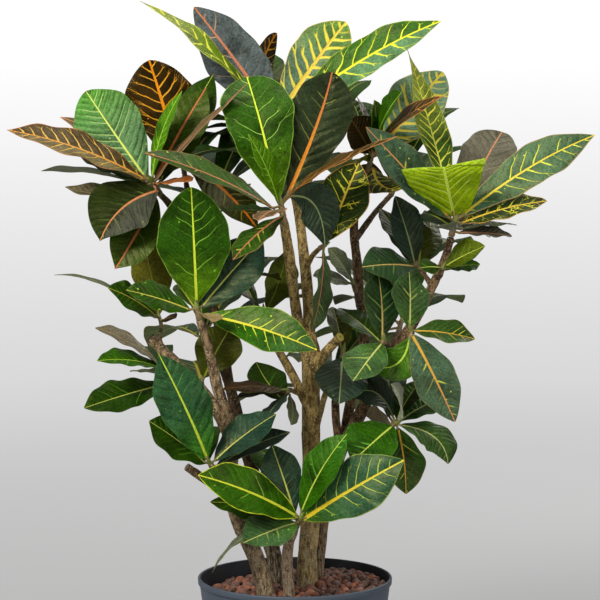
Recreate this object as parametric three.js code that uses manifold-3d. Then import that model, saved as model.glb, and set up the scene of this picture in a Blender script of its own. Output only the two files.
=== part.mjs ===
// Potted croton: a branched Codiaeum in a plain nursery pot filled with clay granules.
// Millimetres, +Z up, origin at the centre of the pot's underside, the front faces -Y.
import * as THREE from "three";
import { mergeVertices } from "three/addons/utils/BufferGeometryUtils.js";
import Module from "manifold-3d";

const wasm = await Module();
wasm.setup();

// Driving dimensions
const POT_RIM_DIAMETER = 220;
const POT_BASE_DIAMETER = 168;
const POT_HEIGHT = 190;
const POT_WALL = 2.4;
const POT_FLOOR = 4;
const RIM_LIP_HEIGHT = 7;
const RIM_LIP_PROUD = 1.2;
const SUBSTRATE_BELOW_RIM = 15;
const SUBSTRATE_CROWN = 4;
const SUBSTRATE_CLEARANCE = 0.7;
const GRANULE_SIZE = 18;
const ROOTED_DEPTH = 70;
const TOUCH_GAP = 0.3;
const STEM_HOLE_MARGIN = 0.4;
const BLADE_THICKNESS = 0.8;
const BLADE_ARCH = 0.07;
const TIP_HALF_WIDTH = 0.6;
const PETIOLE_WIDTH = 3;
const PETIOLE_LENGTH = 24;
const STALK_FOOT = 1.4;
const SHOOT_COLLAR = 3;
const SHOOT_SIDES = 5;
const BRANCH_SIDES = 6;
const BRANCH_STEP = 38;
const TRUNK_SIDES = 8;
const TRUNK_STEP = 46;
const POT_SIDES = 36;
const SUBSTRATE_SIDES = 28;

// Layout sheet: the plant is drawn as an eye sees it from the front, on a sheet 600 units square,
// across from the left edge and down from the top edge. Depth is the distance in millimetres behind
// the upright plane through the pot's axis, where one unit is 1.134 mm.
const EYE = new THREE.Vector3(5.7, -2200, 656);
const EYE_PITCH = THREE.MathUtils.degToRad(3.96);
const SHEET_MIDDLE = 300;
const SHEET_FOCUS = 1964;

function fromSheet(across, down, depth) {
  const right = (across - SHEET_MIDDLE) / SHEET_FOCUS;
  const drop = (down - SHEET_MIDDLE) / SHEET_FOCUS;
  const ray = new THREE.Vector3(
    right,
    Math.cos(EYE_PITCH) - drop * Math.sin(EYE_PITCH),
    -Math.sin(EYE_PITCH) - drop * Math.cos(EYE_PITCH),
  );
  return ray.multiplyScalar((depth - EYE.y) / ray.y).add(EYE);
}

// Solids and meshes
function toSolid(geometry) {
  const bare = new THREE.BufferGeometry();
  bare.setAttribute("position", geometry.getAttribute("position"));
  bare.setIndex(geometry.getIndex());
  const merged = mergeVertices(bare, 1e-4);
  const vertProperties = new Float32Array(merged.getAttribute("position").array);
  const triVerts = new Uint32Array(merged.getIndex().array);
  return new wasm.Manifold(new wasm.Mesh({ numProp: 3, vertProperties, triVerts }));
}

function fuse(solids) {
  return solids.reduce((whole, solid) => whole.add(solid));
}

// The largest closed skin of a solid: a sealed hollow is filled and a loose scrap is dropped.
function wholeBody(solid) {
  const skins = solid.decompose();
  return skins.reduce((largest, skin) => (skin.volume() > largest.volume() ? skin : largest));
}

function namedMesh(name, solid, colour, roughness) {
  const { vertProperties, triVerts } = wholeBody(solid).getMesh();
  const geometry = new THREE.BufferGeometry();
  geometry.setAttribute("position", new THREE.BufferAttribute(vertProperties, 3));
  geometry.setIndex(new THREE.BufferAttribute(triVerts, 1));
  geometry.computeVertexNormals();
  const material = new THREE.MeshStandardMaterial({ color: colour, roughness, metalness: 0 });
  const mesh = new THREE.Mesh(geometry, material);
  mesh.name = name;
  return mesh;
}

function closedGeometry(points, triangles) {
  const geometry = new THREE.BufferGeometry().setFromPoints(points);
  geometry.setIndex(triangles);
  return geometry;
}

// A limb is a tapered round tube with flat ends along a smooth curve through its points.
function limbSolid(points, radii, sides, step) {
  const curve = new THREE.CatmullRomCurve3(points, false, "centripetal");
  const count = Math.max(2, Math.round(curve.getLength() / step));
  const vertices = [];
  const triangles = [];
  const across = new THREE.Vector3(0.9, 0.3, 0.1);
  for (let ring = 0; ring <= count; ring += 1) {
    const along = ring / count;
    const centre = curve.getPoint(along);
    const tangent = curve.getTangent(along);
    across.addScaledVector(tangent, -across.dot(tangent)).normalize();
    const beyond = new THREE.Vector3().crossVectors(tangent, across);
    const place = along * (radii.length - 1);
    const index = Math.min(Math.floor(place), radii.length - 2);
    const radius = THREE.MathUtils.lerp(radii[index], radii[index + 1], place - index);
    for (let side = 0; side < sides; side += 1) {
      const angle = (2 * Math.PI * side) / sides;
      const vertex = centre.clone().addScaledVector(across, radius * Math.cos(angle));
      vertices.push(vertex.addScaledVector(beyond, radius * Math.sin(angle)));
    }
  }
  for (let ring = 0; ring < count; ring += 1) {
    for (let side = 0; side < sides; side += 1) {
      const a = ring * sides + side;
      const b = ring * sides + ((side + 1) % sides);
      triangles.push(a, b, b + sides, a, b + sides, a + sides);
    }
  }
  const last = count * sides;
  for (let side = 1; side < sides - 1; side += 1) {
    triangles.push(0, side + 1, side, last, last + side, last + side + 1);
  }
  return toSolid(closedGeometry(vertices, triangles));
}

// Pot
const POT_TOP_RADIUS = POT_RIM_DIAMETER / 2;
const POT_BASE_RADIUS = POT_BASE_DIAMETER / 2;
const LIP_BOTTOM = POT_HEIGHT - RIM_LIP_HEIGHT;

function outerRadius(height) {
  const top = POT_TOP_RADIUS - RIM_LIP_PROUD;
  return THREE.MathUtils.lerp(POT_BASE_RADIUS, top, height / POT_HEIGHT);
}

function turned(profile, sides) {
  const outline = profile.map(([radius, height]) => new THREE.Vector2(radius, height));
  return toSolid(new THREE.LatheGeometry(outline, sides).rotateX(Math.PI / 2));
}

function potSolid() {
  return turned([
    [0, 0],
    [POT_BASE_RADIUS - 2, 0],
    [outerRadius(2), 2],
    [outerRadius(LIP_BOTTOM), LIP_BOTTOM],
    [POT_TOP_RADIUS - 0.5, LIP_BOTTOM],
    [POT_TOP_RADIUS, POT_HEIGHT - 1],
    [POT_TOP_RADIUS - 1, POT_HEIGHT],
    [outerRadius(POT_HEIGHT) - POT_WALL, POT_HEIGHT - 1],
    [outerRadius(POT_FLOOR) - POT_WALL, POT_FLOOR],
    [0, POT_FLOOR],
  ], POT_SIDES);
}

// Clay granules: one body of substrate with its top layer of pebbles, and a plain hole for each stem.
// The heap is where the surface lies highest.
const SUBSTRATE_TOP = POT_HEIGHT - SUBSTRATE_BELOW_RIM;
const HEAP = { x: 42, y: 20, height: 3, spread: 37.4 };
const GRANULE_SEED = 4711;
const GRANULE_SHIFT = 4;
const GRANULE_DIP = 3.5;
const GRANULE_RISE = [1, 4];

function seededDraw(seed) {
  let state = seed;
  return () => {
    state = (state * 16807) % 2147483647;
    return state / 2147483647;
  };
}

function substrateHeight(x, y) {
  const reach = Math.hypot(x, y) / POT_TOP_RADIUS;
  const fromHeap = Math.hypot(x - HEAP.x, y - HEAP.y) / HEAP.spread;
  const heaped = HEAP.height * Math.exp(-fromHeap * fromHeap);
  return SUBSTRATE_TOP + SUBSTRATE_CROWN * (1 - reach * reach) + heaped;
}

// One pebble for each cell of a honeycomb: its six corners stay low and its middle is raised, all
// moved a little by the seeded draw.
function pebbleLayer(reach) {
  const draw = seededDraw(GRANULE_SEED);
  const rowPitch = GRANULE_SIZE * Math.sqrt(0.75);
  const rows = Math.ceil(reach / rowPitch) + 1;
  const vertices = [];
  const triangles = [];
  const corners = new Map();
  function corner(x, y) {
    const key = `${Math.round(x * 2)},${Math.round(y * 2)}`;
    if (!corners.has(key)) {
      const moved = [x + GRANULE_SHIFT * (draw() - 0.5), y + GRANULE_SHIFT * (draw() - 0.5)];
      corners.set(key, vertices.length);
      vertices.push(new THREE.Vector3(...moved, substrateHeight(...moved) - GRANULE_DIP));
    }
    return corners.get(key);
  }
  const edges = new Map();
  function pebbleFacet(p, q, top) {
    triangles.push(p, q, top);
    if (!edges.delete(`${q},${p}`)) edges.set(`${p},${q}`, [p, q]);
  }
  for (let row = -rows; row <= rows; row += 1) {
    for (let column = -rows; column <= rows; column += 1) {
      const x = (column + (row % 2 === 0 ? 0 : 0.5)) * GRANULE_SIZE;
      const y = row * rowPitch;
      const top = vertices.length;
      const rise = THREE.MathUtils.lerp(...GRANULE_RISE, draw());
      vertices.push(new THREE.Vector3(x, y, substrateHeight(x, y) + rise));
      const ring = [0, 1, 2, 3, 4, 5].map((side) => {
        const angle = ((side + 0.5) * Math.PI) / 3;
        const span = GRANULE_SIZE / Math.sqrt(3);
        return corner(x + span * Math.cos(angle), y + span * Math.sin(angle));
      });
      ring.forEach((p, side) => pebbleFacet(p, ring[(side + 1) % 6], top));
    }
  }
  const under = new Map();
  function below(index) {
    if (!under.has(index)) {
      under.set(index, vertices.length);
      vertices.push(vertices[index].clone().setZ(POT_FLOOR));
    }
    return under.get(index);
  }
  const middle = vertices.length;
  vertices.push(new THREE.Vector3(0, 0, POT_FLOOR));
  for (const [p, q] of edges.values()) {
    triangles.push(p, below(p), q, q, below(p), below(q), below(p), middle, below(q));
  }
  return toSolid(closedGeometry(vertices, triangles));
}

function substrateSolid() {
  const floorRadius = outerRadius(POT_FLOOR) - POT_WALL - SUBSTRATE_CLEARANCE;
  const edgeRadius = outerRadius(SUBSTRATE_TOP) - POT_WALL - SUBSTRATE_CLEARANCE;
  const bed = turned([
    [0, POT_FLOOR + TOUCH_GAP],
    [floorRadius, POT_FLOOR + TOUCH_GAP],
    [edgeRadius, SUBSTRATE_TOP - 1],
    [edgeRadius - 6, POT_HEIGHT],
    [0, POT_HEIGHT],
  ], SUBSTRATE_SIDES);
  return bed.intersect(pebbleLayer(edgeRadius));
}

// Woody stems: [across, down, depth mm, diameter mm] from the substrate up. The first limb of a stem
// is rooted, the others start inside it, and a limb named after a crown carries that crown on its end.
const STEMS = {
  stem_left: {
    colour: "#8a7350",
    limbs: {
      trunk_left: [[268, 596, -35, 21], [257, 560, -38, 20], [243, 530, -43, 19], [233, 500, -47, 18],
        [230, 475, -50, 18], [231, 445, -48, 17], [231, 428, -46, 15]],
      crown_left_middle: [[231, 440, -47, 15], [225, 412, -46, 13], [217, 386, -49, 12],
        [212, 362, -52, 11], [204, 332, -56, 10], [200, 320, -58, 9]],
      cut_end_left_high: [[230, 438, -46, 14], [212, 403, -38, 13], [186, 373, -30, 12],
        [163, 350, -26, 12], [150, 338, -24, 12]],
      crown_left_twig: [[163, 350, -26, 8], [160, 340, -21, 5], [161, 328, -18, 4.5]],
      crown_left_low_rear: [[188, 375, -30, 8], [180, 377, -12, 6.5], [173, 376, 2, 6]],
      sprout_left_fork: [[211, 402, -38, 8], [206, 394, -24, 6], [203, 388, -16, 5.5]],
      cut_end_left_low: [[231, 492, -48, 13], [208, 481, -60, 10], [187, 467, -70, 9]],
      crown_left_low: [[230, 484, -49, 11], [221, 475, -66, 8], [214, 469, -78, 7]],
    },
  },
  stem_rear: {
    colour: "#4a3a26",
    limbs: {
      trunk_rear: [[281, 588, 20, 19], [273, 552, 24, 18], [262, 515, 28, 17], [252, 470, 24, 15],
        [243, 435, 14, 14], [235, 405, 10, 13], [228, 380, 10, 12]],
      crown_left_high: [[229, 384, 10, 12], [222, 340, 18, 11], [208, 290, 26, 10],
        [190, 240, 24, 9], [170, 205, 10, 8], [161, 195, 0, 7]],
      crown_left_high_rear: [[193, 245, 24, 8], [190, 205, 44, 7], [186, 182, 48, 6]],
      crown_rear_left: [[229, 386, 10, 9], [218, 360, 48, 8], [205, 342, 92, 7]],
      crown_rear_left_high: [[204, 280, 26, 8], [212, 240, 70, 7], [214, 210, 112, 6]],
    },
  },
  stem_small: {
    colour: "#8d6f58",
    limbs: {
      crown_low_front: [[290, 598, -47, 14], [287, 560, -50, 13], [289, 543, -56, 12],
        [294, 531, -64, 10]],
    },
  },
  stem_main: {
    colour: "#80693f",
    limbs: {
      trunk_main: [[307, 592, 0, 23], [307, 560, 0, 22], [310, 526, 0, 22], [311, 480, 0, 21],
        [311, 430, 0, 21], [311, 390, 0, 21], [310, 350, 0, 21], [307, 336, 0, 20]],
      cut_end_main: [[312, 372, -2, 12], [326, 352, -12, 11], [340, 337, -18, 10.5]],
      crown_centre_rear: [[306, 402, 0, 11], [291, 372, 16, 10], [276, 346, 30, 9],
        [266, 325, 38, 8]],
      crown_centre: [[303, 352, -1, 12], [295, 302, -14, 12], [289, 255, -38, 11.5], [284, 222, -56, 10]],
      crown_top: [[310, 350, 0, 15], [308, 300, 8, 13], [304, 255, 22, 12], [297, 205, 46, 10],
        [286, 165, 62, 8], [278, 140, 68, 7]],
      crown_centre_twig: [[306, 268, 18, 7], [313, 255, -8, 6], [319, 249, -26, 5]],
      crown_rear_high: [[301, 235, 30, 8], [306, 200, 76, 7], [312, 172, 122, 6]],
      sprout_main_trunk: [[309, 396, 0, 8], [298, 393, -12, 6], [293, 391, -17, 5.5]],
      crown_rear_centre: [[312, 440, 2, 10], [320, 412, 48, 8], [326, 392, 96, 7]],
    },
  },
  stem_right: {
    colour: "#7a5f3c",
    limbs: {
      trunk_right: [[317, 588, 27, 13], [321, 545, 24, 12.5], [325, 512, 20, 12.5],
        [335, 470, 14, 14], [346, 436, 8, 14]],
      crown_right_high: [[344, 444, 9, 14], [358, 418, 0, 14], [368, 398, -8, 13.5], [380, 370, -14, 13],
        [396, 348, -20, 13], [412, 325, -22, 12.5], [428, 295, -20, 11], [439, 272, -16, 10],
        [447, 252, -14, 9], [451, 237, -13, 8]],
      crown_right_high_rear: [[343, 448, 9, 12], [350, 405, 22, 12], [360, 360, 34, 12],
        [365, 325, 38, 12], [360, 300, 38, 11.5], [357, 262, 40, 11], [354, 230, 44, 10],
        [358, 198, 52, 8], [366, 175, 58, 7]],
      crown_right_inner: [[341, 452, 10, 10], [336, 420, 0, 9], [336, 388, -4, 8], [341, 362, -6, 7]],
      crown_right_middle: [[404, 338, -21, 9], [409, 337, -36, 7], [411, 334, -44, 6]],
      crown_right_stub: [[392, 352, -19, 10], [388, 346, -31, 8], [385, 343, -39, 7]],
      sprout_right_branch: [[436, 278, -17, 8], [440, 276, -31, 6], [441, 273, -38, 5.5]],
      sprout_right_branch_rear: [[432, 286, -18, 8], [426, 277, 0, 6], [421, 270, 12, 5.5]],
      sprout_tall_right: [[363, 310, 42, 9], [359, 299, 24, 6.5], [356, 292, 14, 5.5]],
      crown_right_low: [[348, 434, 6, 10], [368, 434, -18, 8], [386, 428, -34, 7]],
      crown_rear_right: [[378, 374, -13, 10], [390, 352, 38, 8], [398, 334, 86, 7]],
      crown_rear_right_high: [[355, 240, 43, 8], [374, 214, 84, 7], [390, 196, 124, 6]],
    },
  },
};

function onSheet([across, down, depth]) {
  return fromSheet(across, down, depth);
}

// The rooted limb goes straight down into the substrate from its first point.
function limbPath(points, rooted) {
  const path = points.map(onSheet);
  if (!rooted) return path;
  const foot = path[0].clone().setZ(SUBSTRATE_TOP - ROOTED_DEPTH);
  const buried = path[0].clone().setZ(SUBSTRATE_TOP - 10);
  return [foot, buried, ...path.filter((point) => point.z > SUBSTRATE_TOP + 2)];
}

const woodParts = [];
const woodEnds = {};
const stemMeshes = [];
const stemHoles = [];

for (const [stemName, stem] of Object.entries(STEMS)) {
  const solids = [];
  for (const [limbName, points] of Object.entries(stem.limbs)) {
    const rooted = solids.length === 0;
    const path = limbPath(points, rooted);
    const widths = points.map(([, , , diameter]) => diameter / 2);
    const radii = rooted ? [widths[0], widths[0], ...widths.slice(-path.length + 2)] : widths;
    const sides = rooted ? TRUNK_SIDES : BRANCH_SIDES;
    const step = rooted ? TRUNK_STEP : BRANCH_STEP;
    const solid = limbSolid(path, radii, sides, step);
    solids.push(solid);
    woodParts.push({ owner: limbName, solid, box: solid.boundingBox() });
    const end = path[path.length - 1];
    const heading = new THREE.CatmullRomCurve3(path, false, "centripetal").getTangent(1);
    woodEnds[limbName] = { end, heading, radius: widths[widths.length - 1] };
    if (rooted) {
      const wider = radii.map((radius) => radius + STEM_HOLE_MARGIN);
      const lower = path.map((point) => point.clone());
      lower[0].z -= TOUCH_GAP;
      stemHoles.push(limbSolid(lower, wider, sides, step));
    }
  }
  stemMeshes.push(namedMesh(stemName, fuse(solids), stem.colour, 0.85));
}

const substrate = stemHoles.reduce((body, hole) => body.subtract(hole), substrateSolid());

// Leaves: half the outline's width along the blade, as a share of the full half width
function outlineShare(along) {
  return Math.sin(Math.PI * along ** 1.15) ** (0.64 + 0.34 * along);
}

// The places along the midrib where a blade has a row of points. Blades narrower than SMALL_BLADE have
// fewer rows.
const BLADE_ROWS = [0.22, 0.54, 0.83];
const SMALL_BLADE_ROWS = [0.32, 0.76];
const SMALL_BLADE = 45;

function onMidrib(leaf, along) {
  const rest = 1 - along;
  const bend = leaf.via.clone().multiplyScalar(2);
  bend.addScaledVector(leaf.base, -0.5).addScaledVector(leaf.tip, -0.5);
  const point = leaf.base.clone().multiplyScalar(rest * rest);
  return point.addScaledVector(bend, 2 * rest * along).addScaledVector(leaf.tip, along * along);
}

// One closed blade with its stalk: rows of four points across the midrib, two on the upper face and
// two on the lower. Both faces are split into triangles alike. A swollen blade is thicker and wider.
const EDGE_SWELL = 0.06;
const STALK_FLATNESS = 0.7;

function bladeSolid(leaf, swell, withStalk) {
  const chord = leaf.tip.clone().sub(leaf.base).normalize();
  const side = new THREE.Vector3().crossVectors(chord, leaf.normal).normalize();
  const thickness = BLADE_THICKNESS + swell;
  const rows = leaf.rows.map((along) => {
    const half = (leaf.width / 2) * outlineShare(along) * (1 + EDGE_SWELL * swell);
    return [onMidrib(leaf, along), half, thickness];
  });
  rows.push([leaf.tip, TIP_HALF_WIDTH, thickness]);
  if (withStalk) {
    rows.unshift([leaf.base, PETIOLE_WIDTH / 2, PETIOLE_WIDTH * STALK_FLATNESS]);
    rows.unshift([leaf.foot, PETIOLE_WIDTH / 2, PETIOLE_WIDTH]);
  }
  const vertices = [];
  const triangles = [0, 2, 1, 0, 3, 2];
  rows.forEach(([centre, half, depth], index) => {
    const before = rows[Math.max(index - 1, 0)][0];
    const after = rows[Math.min(index + 1, rows.length - 1)][0];
    const tangent = after.clone().sub(before).normalize();
    const across = side.clone().addScaledVector(tangent, -side.dot(tangent)).normalize();
    const normal = new THREE.Vector3().crossVectors(across, tangent);
    for (const [reach, level] of [[-1, 1], [1, 1], [1, -1], [-1, -1]]) {
      const vertex = centre.clone().addScaledVector(across, reach * half);
      vertices.push(vertex.addScaledVector(normal, (level * depth) / 2));
    }
  });
  const last = vertices.length - 4;
  for (let a = 0; a < last; a += 4) {
    const b = a + 4;
    triangles.push(a, b + 1, b, a, a + 1, b + 1, a + 3, b + 3, b + 2, a + 3, b + 2, a + 2);
    triangles.push(a + 1, b + 2, b + 1, a + 1, a + 2, b + 2, a + 3, b, b + 3, a + 3, a, b);
  }
  triangles.push(last, last + 1, last + 2, last, last + 2, last + 3);
  return toSolid(closedGeometry(vertices, triangles));
}

// Crowns: each is a green shoot with its leaves. "shoot" is its end [across, down, depth mm, diameter
// mm]. A leaf is [base across, base down, tip across, tip down, tip depth mm, width mm, turn] and the
// midrib's middle, where that isn't on the straight line. Turn 0 shows the upper face to the front,
// 90 is edge-on with the upper face to the sky, and 180 shows the underside. The middle may have its
// own depth. "rear" adds leaves by rule behind the shoot: [count, first bearing, last bearing,
// length mm, width mm, rise in degrees].
const CROWNS = {
  crown_low_front: {
    shoot: [300, 519, -76, 7],
    leaves: [
      [306, 519, 404, 460, -112, 62, 14],
      [296, 515, 198, 475, -132, 56, 34],
      [295, 525, 243, 543, -136, 52, 42],
      [302, 508, 347, 434, -92, 50, 40],
      [291, 508, 272, 445, -58, 46, 18],
      [291, 523, 212, 573, -62, 26, 76, 243, 537],
      [292, 517, 210, 502, -54, 46, 54],
      [305, 511, 330, 462, -46, 48, 40],
    ],
    rear: [2, 60, 120, 110, 46, 12],
  },
  crown_left_low: {
    shoot: [210, 463, -88, 6],
    leaves: [
      [206, 458, 159, 355, -108, 60, 18],
      [203, 463, 149, 421, -124, 60, 46],
      [217, 459, 276, 414, -70, 50, 44],
      [219, 466, 290, 432, -56, 44, 58],
      [214, 468, 251, 474, -118, 34, 82],
    ],
    rear: [1, 100, 100, 110, 46, 10],
  },
  crown_left_middle: {
    shoot: [197, 308, -60, 7],
    leaves: [
      [196, 301, 191, 187, -74, 80, 4],
      [203, 307, 262, 238, -34, 58, 14],
      [212, 315, 317, 350, -112, 50, 26],
      [186, 311, 126, 290, -96, 48, 54],
      [192, 306, 178, 284, -34, 30, 40],
      [203, 314, 212, 322, -118, 30, 60],
    ],
    rear: [2, 50, 118, 120, 48, 14],
  },
  crown_centre: {
    shoot: [281, 204, -64, 7],
    leaves: [
      [277, 200, 247, 77, -26, 74, 6, 263, 132, -66],
      [277, 203, 248, 134, -98, 32, 58],
      [293, 186, 332, 72, -44, 70, 6, 317, 124],
      [271, 212, 145, 153, -128, 50, 68],
      [284, 217, 233, 260, -112, 44, 58],
      [290, 192, 398, 136, -112, 48, 81, 329, 166],
      [297, 190, 325, 246, -52, 50, 20, 316, 206],
      [273, 213, 216, 212, -40, 44, 82],
      [283, 212, 258, 221, -150, 34, 78],
    ],
    rear: [1, 95, 95, 120, 50, 20],
  },
  crown_centre_twig: {
    shoot: [325, 245, -38, 5],
    leaves: [
      [328, 239, 359, 163, -72, 56, 10],
      [323, 252, 311, 333, -50, 46, 66],
    ],
    rear: [0, 0, 0, 0, 0, 0],
  },
  crown_left_high: {
    shoot: [152, 181, -20, 7],
    leaves: [
      [143, 179, 7, 130, -62, 54, 58],
      [141, 175, 86, 91, -4, 74, 8],
      [161, 195, 100, 241, -74, 70, 24, 122, 207],
      [156, 205, 115, 269, -56, 52, 12],
      [158, 176, 206, 88, 8, 54, 18],
      [152, 177, 182, 91, -34, 34, 64],
      [159, 179, 247, 84, -52, 44, 82, 180, 148],
      [163, 181, 213, 75, 38, 50, 24],
      [142, 184, 76, 153, -8, 42, 58],
      [141, 189, 65, 187, -36, 42, 70, 104, 192],
      [142, 187, 41, 171, 14, 38, 98],
      [146, 172, 60, 117, 44, 38, 56],
      [156, 186, 192, 181, -70, 40, 84],
    ],
    rear: [2, 70, 140, 130, 50, 15],
  },
  crown_left_high_rear: {
    shoot: [183, 166, 48, 6],
    leaves: [
      [176, 158, 149, 60, 72, 80, 12, 164, 108],
      [194, 163, 257, 228, 8, 50, 30],
    ],
    rear: [2, 60, 125, 130, 50, 18],
  },
  crown_right_high: {
    shoot: [455, 221, -16, 7],
    leaves: [
      [454, 212, 450, 183, -28, 92, 0, 444, 168, -70],
      [464, 214, 595, 135, -34, 50, 26, 528, 168],
      [446, 216, 366, 127, -62, 52, 42, 411, 174],
      [464, 225, 547, 201, -44, 44, 58],
      [450, 204, 407, 48, 44, 48, 46, 433, 132, 26],
      [466, 201, 502, 132, 74, 64, 18],
      [464, 230, 517, 225, 22, 36, 80],
      [463, 234, 512, 236, -12, 40, 72],
      [460, 228, 484, 233, 80, 36, 58],
      [449, 225, 424, 213, 62, 36, 40],
      [453, 231, 434, 227, -72, 34, 110],
    ],
    rear: [2, 55, 120, 125, 50, 15],
  },
  crown_top: {
    shoot: [275, 121, 70, 6],
    leaves: [
      [260, 109, 140, 1, 4, 46, 70],
      [267, 103, 194, 7, 64, 66, 8, 240, 66],
      [282, 109, 346, 22, 72, 66, 8],
      [293, 110, 441, 21, 40, 56, 42],
      [266, 104, 277, 33, 112, 40, 60, 263, 70],
    ],
    rear: [3, 62, 150, 140, 54, 22],
  },
  crown_right_high_rear: {
    shoot: [372, 156, 64, 6],
    leaves: [
      [380, 150, 443, 72, 84, 66, 8],
      [379, 152, 444, 96, 12, 44, 76, 396, 123],
      [373, 147, 374, 100, 30, 36, 66],
      [376, 147, 402, 92, 22, 44, 58],
      [381, 155, 429, 119, 60, 46, 128],
      [369, 150, 350, 118, 34, 46, 30],
      [374, 164, 360, 194, 74, 48, 160],
      [368, 161, 342, 182, 18, 36, 74, 356, 160],
      [376, 168, 410, 186, 4, 42, 50, 384, 186],
      [370, 149, 357, 97, 56, 32, 76],
      [368, 152, 351, 98, 96, 42, 44],
    ],
    rear: [2, 72, 128, 130, 52, 20],
  },
  sprout_right_branch: {
    shoot: [443, 268, -46, 5],
    leaves: [
      [446, 266, 485, 246, -60, 44, 56],
      [446, 270, 480, 264, -40, 42, 66],
      [438, 267, 420, 268, -56, 26, 50],
    ],
    rear: [0, 0, 0, 0, 0, 0],
  },
  sprout_right_branch_rear: {
    shoot: [417, 265, 16, 5],
    leaves: [
      [412, 267, 362, 267, -46, 50, 38],
      [413, 262, 395, 196, 8, 48, 40],
      [420, 260, 417, 217, 40, 42, 40],
      [423, 262, 429, 212, 66, 42, 48],
      [409, 264, 380, 208, 46, 42, 56],
    ],
    rear: [1, 60, 60, 115, 46, 10],
  },
  crown_right_middle: {
    shoot: [411, 330, -50, 5.5],
    leaves: [
      [411, 335, 455, 422, -76, 50, 18],
      [415, 331, 475, 339, -56, 44, 54],
      [408, 326, 409, 272, -10, 50, 36],
      [408, 340, 371, 365, -62, 48, 24, 397, 363],
    ],
    rear: [0, 0, 0, 0, 0, 0],
  },
  crown_right_stub: {
    shoot: [384, 340, -44, 6],
    leaves: [
      [381, 345, 353, 381, -84, 52, 32],
      [381, 336, 378, 272, -24, 50, 34],
      [378, 342, 339, 308, 12, 44, 54],
    ],
    rear: [0, 0, 0, 0, 0, 0],
  },
  crown_right_inner: {
    shoot: [343, 352, -6, 6],
    leaves: [
      [342, 358, 339, 404, -88, 58, 4],
      [347, 355, 360, 385, -40, 40, 30],
      [340, 350, 333, 307, 34, 42, 50],
    ],
    rear: [0, 0, 0, 0, 0, 0],
  },
  crown_right_low: {
    shoot: [396, 423, -42, 6],
    leaves: [
      [391, 427, 352, 462, -108, 60, 18],
      [399, 430, 406, 494, -58, 50, 36],
      [402, 426, 448, 464, -66, 50, 48, 435, 437],
      [392, 414, 345, 398, -40, 48, 44, 374, 391],
      [398, 416, 423, 380, 6, 44, 48],
      [402, 420, 440, 399, -4, 44, 50],
      [400, 418, 391, 384, -80, 34, 78, 402, 401],
      [391, 424, 366, 416, -14, 34, 126],
    ],
    rear: [2, 72, 115, 110, 46, 5],
  },
  crown_left_twig: {
    shoot: [160, 319, -18, 4],
    leaves: [
      [156, 316, 108, 288, -62, 48, 58],
      [157, 315, 54, 275, -8, 18, 78, 101, 283],
      [158, 312, 140, 235, 8, 54, 150],
      [163, 320, 176, 318, -46, 20, 66],
    ],
    rear: [0, 0, 0, 0, 0, 0],
  },
  crown_left_low_rear: {
    shoot: [166, 372, 10, 5],
    leaves: [
      [160, 366, 97, 361, -52, 42, 64],
      [158, 363, 95, 328, -28, 38, 70],
      [162, 390, 84, 408, -50, 50, 44],
      [159, 375, 134, 371, 44, 36, 78],
    ],
    rear: [1, 105, 105, 105, 44, 8],
  },
  sprout_left_fork: {
    shoot: [202, 383, -12, 5],
    leaves: [
      [205, 374, 232, 325, 0, 56, 22],
    ],
    rear: [1, 100, 100, 110, 48, 5],
  },
  sprout_main_trunk: {
    shoot: [288, 390, -22, 5],
    leaves: [
      [283, 391, 222, 390, -58, 46, 73],
      [286, 396, 266, 419, -78, 36, 70],
      [279, 407, 256, 362, 14, 50, 34],
      [291, 397, 291, 425, -52, 24, 58],
      [283, 395, 237, 398, -20, 38, 82],
    ],
    rear: [0, 0, 0, 0, 0, 0],
  },
  crown_centre_rear: {
    shoot: [264, 313, 42, 6],
    leaves: [
      [269, 308, 287, 250, 60, 46, 140],
      [261, 307, 236, 291, 20, 42, 82],
    ],
    rear: [2, 70, 140, 115, 48, 12],
  },
  sprout_tall_right: {
    shoot: [353, 283, 4, 5],
    leaves: [
      [350, 278, 328, 248, -4, 36, 56],
      [348, 283, 313, 276, -18, 36, 64],
    ],
    rear: [0, 0, 0, 0, 0, 0],
  },
  crown_rear_left: {
    shoot: [202, 331, 108, 6],
    leaves: [],
    rear: [6, 12, 120, 135, 52, 16],
  },
  crown_rear_left_high: {
    shoot: [213, 192, 128, 6],
    leaves: [],
    rear: [6, 30, 160, 140, 54, 24],
  },
  crown_rear_high: {
    shoot: [314, 154, 140, 6],
    leaves: [],
    rear: [6, 20, 165, 140, 54, 26],
  },
  crown_rear_right_high: {
    shoot: [396, 184, 142, 6],
    leaves: [],
    rear: [6, 12, 140, 135, 54, 20],
  },
  crown_rear_centre: {
    shoot: [329, 380, 112, 6],
    leaves: [],
    rear: [6, 15, 165, 125, 50, 8],
  },
  crown_rear_right: {
    shoot: [401, 322, 104, 6],
    leaves: [],
    rear: [6, 56, 168, 125, 50, 10],
  },
};

// The green shoot goes on from the end of its branch, one touching gap above the cut of the wood.
function shootPath(name, [across, down, depth]) {
  const { end, heading } = woodEnds[name];
  const start = end.clone().addScaledVector(heading, TOUCH_GAP);
  const collar = start.clone().addScaledVector(heading, SHOOT_COLLAR);
  return [start, collar, fromSheet(across, down, depth)];
}

// A leaf stalk starts just under the shoot's skin, at the place nearest to its blade.
const STALK_RANGE = [0.1, 0.92];

function stalkFoot(path, point) {
  const upper = new THREE.Line3(path[1], path[2]);
  const along = upper.closestPointToPointParameter(point, false);
  const axis = upper.at(THREE.MathUtils.clamp(along, ...STALK_RANGE), new THREE.Vector3());
  return axis.addScaledVector(point.clone().sub(axis).normalize(), STALK_FOOT);
}

// The upper face looks at the eye for a turn of 0 and rolls about the midrib towards the sky. An
// upright blade rolls towards the side that its edge leans to.
const UPRIGHT_LEAN = 0.35;

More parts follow.
